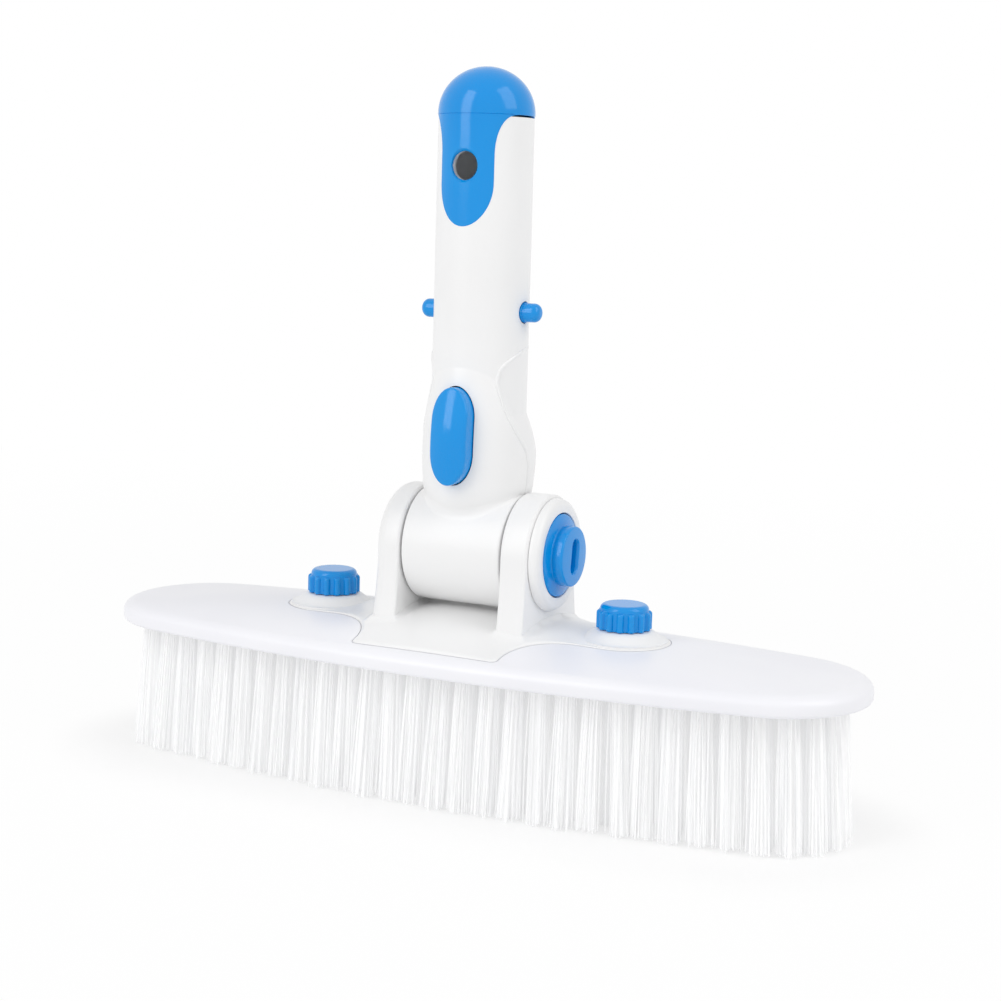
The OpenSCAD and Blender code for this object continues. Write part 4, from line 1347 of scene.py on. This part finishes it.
@dataclass
class PivotCap:
    """The coin-slotted cap in the right ear's ring boss.

    The profile gives radius, place along the pivot and rounding; the slot gives growth and place.
    """

    profile: tuple[Point, ...] = ((0, 27.1, 0), (12.7, 27.1, 0), (12.7, 29.3, 0.45), (9.15, 30.15, 0.5),
                                  (9.45, 31.7, 1.5), (9.2, 33.75, 0.6), (4.0, 34.05, 0), (0, 34.1, 0))
    slot_size: Point = (10.3, 4.4, 2.2)
    slot: Pairs = ((0.0, 29.4), (0.0, 33.2), (0.12, 33.55), (0.45, 33.9), (1.4, 34.85))
    slot_lean: float = 8.0

    def build(self, finish: Finish) -> bpy.types.Object:
        """The cap: a turned flange and a soft barrel-shaped boss, with the slot cut into its end.

        Args:
            finish: its finish.

        Returns:
            The piece.
        """
        cap = ringed(turned(soft_profile(self.profile, 9), Axis.X, (0, 0, PIVOT_Z), 160), "cap_form")
        slot = pill_rod(Axis.X, (0, 0, PIVOT_Z), self.slot_size, self.slot, self.slot_lean)
        return dress(carved(cap, [slot]), "slotted_cap", Body.CAP, finish, ("pivot_cap",))


@dataclass
class ThumbKnob:
    """A ribbed thumb nut on one of the clamp studs."""

    side: int
    low: float = 55.45
    height: float = 7.5
    outer: float = 8.4
    drum: float = 7.4
    ribs: int = 14
    rib_top: float = 5.6
    rib_half: float = 0.29
    rib_edge: float = 1.0
    edge: float = 1.6
    room: Pairs = ((5.0, -1.0), (5.0, 5.6), (2.6, 5.6), (2.6, 7.0))

    def build(self, finish: Finish) -> bpy.types.Object:
        """The knob: rounded ribs round a drum with a soft top edge, hollowed for its stud and insert.

        Args:
            finish: its finish.

        Returns:
            The piece.
        """
        turn = np.linspace(0, TURN, self.ribs * 18, endpoint=False)[None, :]
        across = np.abs((turn * self.ribs / TURN + 0.5) % 1 - 0.5) / self.rib_half
        rib = np.sqrt(np.clip(1 - across ** 2, 0, 1))
        a = np.linspace(0, QUARTER, 8)
        h = np.concatenate([[0, 0, 0.05, 0.15], np.linspace(0.8, self.rib_top - self.rib_edge, 6),
                            self.rib_top - self.rib_edge * (1 - np.sin(a[1:])), [self.rib_top + 0.1],
                            self.height - self.edge * (1 - np.sin(a)), [self.height, self.height]])[:, None]
        ring = np.concatenate([[-self.drum, -0.15, -0.04], np.zeros(15), -self.edge * (1 - np.cos(a)),
                               [-self.edge - 0.3, -self.drum]])[:, None]
        fade = np.concatenate([[0, 0.9, 0.98, 1.0], np.ones(6), np.cos(a[1:]), np.zeros(11)])[:, None]
        r = np.maximum(self.drum + ring, 0) + (self.outer - self.drum) * rib * fade
        x = self.side * KNOB_X
        points = np.stack(np.broadcast_arrays(x + r * np.cos(turn), r * np.sin(turn), self.low + h), axis=-1)
        knob = ringed(points, "knob_form")
        room = rod(Axis.Z, (x, 0, self.low), self.room, 48)
        body, node = (Body.LEFT_KNOB, "left_knob") if self.side < 0 else (Body.RIGHT_KNOB, "right_knob")
        return dress(carved(knob, [room]), f"{node}_nut", body, finish, (node,), sharp=50)


@dataclass
class EndCap:
    """The blue dome on the tube's end, with its two tongues."""

    base: float = 132.5
    dome_r: float = 14.85
    dome_low: float = 0.6
    chamfer: float = 0.15
    inner_r: float = 13.4
    tongue_half: float = 9.05
    length: float = 33.7
    tip: float = 13.0
    flare_w: float = 5.0
    flare_h: float = 12.0
    edge: float = 0.55
    first_rows: tuple[float, ...] = (0.0, 0.15, 0.3, 0.5)
    mouth: Pairs = ((0.0, 11.0), (0.0, 14.0), (0.25, 14.3), (1.2, 15.3))

    def half_width(self, down: np.ndarray) -> np.ndarray:
        """The tongue's half width at a distance below the dome.

        Args:
            down: distances.

        Returns:
            Half widths: flared at the dome, straight, then an elliptical tip.
        """
        flare = self.flare_w * (1 - np.sqrt(np.clip(1 - (1 - np.clip(down / self.flare_h, 0, 1)) ** 2, 0, 1)))
        into = np.clip((down - self.length + self.tip) / self.tip, 0, 1)
        return (self.tongue_half + flare) * np.sqrt(1 - into ** 2)

    def tongue(self, side: int) -> np.ndarray:
        """One tongue, bent round the tube: its face with a soft edge, and its back.

        Args:
            side: -1 for the button's side, 1 for the other.

        Returns:
            A grid of points.
        """
        top = self.flare_h * (1 - np.cos(np.linspace(0, QUARTER, 30)))
        straight = np.linspace(self.flare_h, self.length - self.tip, 14)[1:-1]
        tip = self.length - self.tip + self.tip * np.sin(np.linspace(0, QUARTER, 40))
        down = np.concatenate([self.first_rows, top[top > self.first_rows[-1] + 0.1], straight, tip])
        across = np.sin(np.linspace(-QUARTER, QUARTER, 73))[None, :]
        half = self.half_width(down)
        x = across * half[:, None]
        rim = np.concatenate([np.stack([-half, down], axis=-1), np.stack([half, down], axis=-1)[::-1]])
        places = np.stack(np.broadcast_arrays(x, down[:, None]), axis=-1)
        away = np.clip(line_distance(places, rim) / self.edge, 0, 1)
        r = self.dome_r - self.edge * (1 - np.sqrt(1 - (1 - away) ** 2))
        turn = np.arcsin(np.clip(x / self.dome_r, -1, 1))
        turn = np.concatenate([turn, turn[:, ::-1]], axis=1)
        r = np.concatenate([r, np.full_like(r, self.inner_r)], axis=1)
        turn, down = (np.concatenate([v[:1], v]) for v in (turn, down))
        r = np.concatenate([np.full_like(r[:1], self.inner_r), r])
        z = np.broadcast_to((PIVOT_Z + self.base - down)[:, None], r.shape)
        return np.stack([r * np.sin(turn), side * r * np.cos(turn), z], axis=-1)

    def build(self, finish: Finish) -> list[bpy.types.Object]:
        """The dome and the tongues, with the cord's hole through them.

        Args:
            finish: their finish.

        Returns:
            The pieces.
        """
        lift = np.linspace(0, QUARTER, 40)
        r = self.dome_r
        low = np.array([(0, 0), (r - self.chamfer, 0), (r, self.chamfer)])
        arc = np.stack([r * np.cos(lift), self.dome_low + (r - self.dome_low) * np.sin(lift)], axis=-1)
        arc[-1, 0] = 0
        dome = turned(np.concatenate([low, arc]), Axis.Z, (0, 0, PIVOT_Z + self.base), 160)
        forms = {"end_dome": ringed(dome, "dome_form")}
        for side, name in zip(SIDES, ("front_tongue", "rear_tongue")):
            mouth = tuple((CORD_R + grow, side * place) for grow, place in self.mouth)
            hole = rod(Axis.Y, (0, 0, PIVOT_Z + CORD_H), mouth, 72)
            forms[name] = carved(ringed(self.tongue(side), name), [hole])
        return [dress(form, name, Body.HANDLE, finish, ("end_cap",)) for name, form in forms.items()]


@dataclass
class Springs:
    """The springs inside the neck and the tube."""

    button_travel: float = 3.0
    pin_travel: float = 5.2
    leaf_t: float = 0.8
    bend_steps: int = 24

    def coils(self, frame: dict[str, Any]) -> None:
        """Gives each of the two coils a mesh of its own.

        Args:
            frame: the loaded frame.
        """
        for node, joint, axis in (("button_spring", "button_press", 1), ("bolt_spring", "lock_bolt_lift", 2)):
            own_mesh(frame["nodes"][node])

    def leg(self, side: int) -> np.ndarray:
        """Half of the leaf: a flat strip from the middle of the round bend down one leg.

        Args:
            side: -1 for the left leg, 1 for the right one.

        Returns:
            A grid of points, in millimetres.
        """
        low, high = (np.array(corner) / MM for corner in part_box("clip_spring"))
        bend = np.linspace(0, QUARTER, self.bend_steps)[:, None]
        r = high[0] - np.array([[0, 0, self.leaf_t, self.leaf_t]])
        x, z = r * np.sin(bend), high[2] - high[0] + r * np.cos(bend)
        x, z = np.concatenate([x, x[-1:]]), np.concatenate([z, np.full((1, 4), low[2])])
        y = np.broadcast_to(np.array([[low[1], high[1], high[1], low[1]]]), x.shape)
        strip = np.stack([side * x, y, z], axis=-1)
        ends = strip[[0, -1]].mean(axis=1, keepdims=True).repeat(4, axis=1)
        return np.concatenate([ends[:1], strip, ends[1:]])

    def build(self, finish: Finish, frame: dict[str, Any]) -> list[bpy.types.Object]:
        """The leaf's two halves, and the coils, each given a mesh of its own.

        Args:
            finish: the leaf's finish.
            frame: the loaded frame.

        Returns:
            The new pieces.
        """
        self.coils(frame)
        made = []
        for side, name in zip(SIDES, ("left", "right")):
            form = ringed(self.leg(side), f"{name}_leaf_form")
            half = dress(form, f"{name}_leaf_half", Body.HANDLE, finish, ("clip_spring",))
            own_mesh(half)
            made.append(half)
        return made


@dataclass
class PhotoCamera:
    """The camera that took the photograph, as fitted to it."""

    azimuth: float = 26.44
    elevation: float = 6.55
    roll: float = 1.54
    distance: float = 602.49
    target: tuple[float, float, float] = (0.0, 0.0, 110.0)
    focal_px: float = 1944.23
    centre_px: tuple[float, float] = (478.19, 435.56)

    def build(self) -> None:
        """Makes the scene's camera: its axes from the angles, its shift from the image's centre."""
        a, e, r = (math.radians(v) for v in (self.azimuth, self.elevation, self.roll))
        back = Vector((math.sin(a) * math.cos(e), -math.cos(a) * math.cos(e), math.sin(e)))
        right = Vector((math.cos(a), math.sin(a), 0.0))
        up = back.cross(right)
        right, up = math.cos(r) * right + math.sin(r) * up, math.cos(r) * up - math.sin(r) * right
        data = bpy.data.cameras.new("photo_camera")
        data.sensor_width = 36.0
        data.lens = self.focal_px * data.sensor_width / PHOTO_PX
        data.shift_x = (PHOTO_PX / 2 - self.centre_px[0]) / PHOTO_PX
        data.shift_y = (self.centre_px[1] - PHOTO_PX / 2) / PHOTO_PX
        data.clip_start, data.clip_end = 0.01, 20.0
        camera = bpy.data.objects.new("photo_camera", data)
        turn = Matrix((right, up, back)).transposed().to_4x4()
        camera.matrix_world = Matrix.Translation((Vector(self.target) + self.distance * back) * MM) @ turn
        bpy.context.scene.collection.objects.link(camera)
        bpy.context.scene.camera = camera


@dataclass(frozen=True)
class SoftLamp:
    """An upright area lamp that faces a height on the brush's middle. Sizes are metres and watts."""

    name: str
    place: Point
    size: tuple[float, float]
    watts: float
    aim: float

    def build(self) -> None:
        """Makes the lamp and turns it to where it aims."""
        data = bpy.data.lights.new(self.name, "AREA")
        data.shape, data.size, data.size_y, data.energy = "RECTANGLE", *self.size, self.watts
        lamp = bpy.data.objects.new(self.name, data)
        lamp.location = self.place
        lamp.rotation_mode = "QUATERNION"
        lamp.rotation_quaternion = (Vector((0, 0, self.aim)) - Vector(self.place)).to_track_quat("-Z", "Y")
        bpy.context.scene.collection.objects.link(lamp)


@dataclass
class Studio:
    """A white floor, a bright plain surround and soft lamps. Sizes are metres."""

    lamps: tuple[SoftLamp, ...] = (SoftLamp("key", (-0.47, -1.05, 0.82), (0.54, 1.23), 6.05, 0.45),
                                   SoftLamp("side", (1.10, -0.07, 1.0), (0.75, 1.25), 5.5, 0.3))
    surround: float = 0.63
    floor_half: float = 6.0
    floor_z: float = -0.00005
    foot_half: float = 0.087
    foot_r: float = 0.033
    shadow_reach: float = 0.034
    near_painted_shadow_share: float = 0.42
    far: tuple[float, float] = (0.2, 0.8)
    far_painted_shadow_share: float = 0.05

    def build(self) -> None:
        """Makes the world, the floor and the lamps."""
        self._world()
        self._floor()
        for lamp in self.lamps:
            lamp.build()

    def _world(self) -> None:
        """An even surround that the camera and mirrors see as white."""
        world = bpy.data.worlds.new("surround")
        bpy.context.scene.world = world
        s = Shader(world)
        level = s.seen() * (1 - self.surround) + self.surround
        glow = s.node("ShaderNodeBackground", None, {"Color": WHITE, "Strength": level})
        s.node("ShaderNodeOutputWorld", None, {"Surface": glow})

    def _floor(self) -> None:
        """A wide white floor that keeps the shadow round the bristles' foot and a trace of it further out,
        partly as painted shadow.

        The share of white grows with the distance from a straight bar with round ends under the bristles, so
        that band is darker wherever it lies: real shadow where the brush blocks the light, painted shadow where
        it does not.
        """
        s = Shader(bpy.data.materials.new("studio_floor"))
        shade = s.node("ShaderNodeBsdfDiffuse", None, {"Color": rgba(250, 250, 250)})
        glow = s.node("ShaderNodeEmission", None, {"Color": WHITE, "Strength": 1.0})
        along, across = (s.node("ShaderNodeSeparateXYZ", None, {0: s.coords()}, axis) for axis in "XY")
        past = (along.math("ABSOLUTE") - self.foot_half).math("MAXIMUM", 0.0)
        away = (past * past + across * across).math("SQRT")
        # painted shadow: near the bristles' foot, and faintly further out, the floor gives up part of its white
        # glow, which darkens it there even where no real shadow falls
        near = 1 - away.step(self.foot_r, self.foot_r + self.shadow_reach)
        far = 1 - away.step(*self.far)
        white = 1 - (near * self.near_painted_shadow_share + far * self.far_painted_shadow_share)
        both = s.node("ShaderNodeMixShader", None, {0: s.seen() * white, 1: shade, 2: glow})
        s.node("ShaderNodeOutputMaterial", None, {"Surface": both})
        x, y = np.meshgrid(*[[-self.floor_half, self.floor_half]] * 2)
        flat = np.stack([x, y, np.full_like(x, self.floor_z)], axis=-1) / MM
        mesh = MeshParts().grid(flat).mesh("studio_floor")
        mesh.materials.append(s.owner)
        floor = bpy.data.objects.new("studio_floor", mesh)
        bpy.context.scene.collection.objects.link(floor)


def main() -> None:
    """Builds the brush, its finishes, the light and the camera."""
    logging.basicConfig(level=logging.INFO, format="%(name)s %(message)s")
    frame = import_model()
    bpy.context.scene.view_settings.view_transform = "Standard"
    PhotoCamera().build()
    Studio().build()
    finishes = Finishes()
    plan, plate, button = BracketPlan(), BrushPlate(), ReleaseButton()
    pieces = [plate.build(finishes.plate, plan), *BristleField(plate).build(finishes.bristle),
              *Bracket(plan).build(finishes.white), *HandleMoulding().build(finishes.white, button),
              button.build(finishes.blue), PivotCap().build(finishes.blue), *EndCap().build(finishes.blue),
              *(ThumbKnob(side).build(finishes.blue) for side in SIDES)]
    kept = {finishes.blue: ("left_clip_pin", "right_clip_pin"),
            finishes.brass: ("left_knob_insert", "right_knob_insert"),
            finishes.steel: ("clamp_studs", "stud_washers", "pivot_axle", "shell_screws", "button_spring",
                             "bolt_spring"),
            finishes.nylon: ("detent_wheel", "pivot_bushes", "lock_bolt")}
    for finish, nodes in kept.items():
        for node in nodes:
            frame["nodes"][node].data.materials.clear()
            frame["nodes"][node].data.materials.append(finish.material)
    pieces += Springs().build(finishes.steel, frame)
    LOG.info("%d pieces made", len(pieces))


if __name__ == "__main__":
    main()
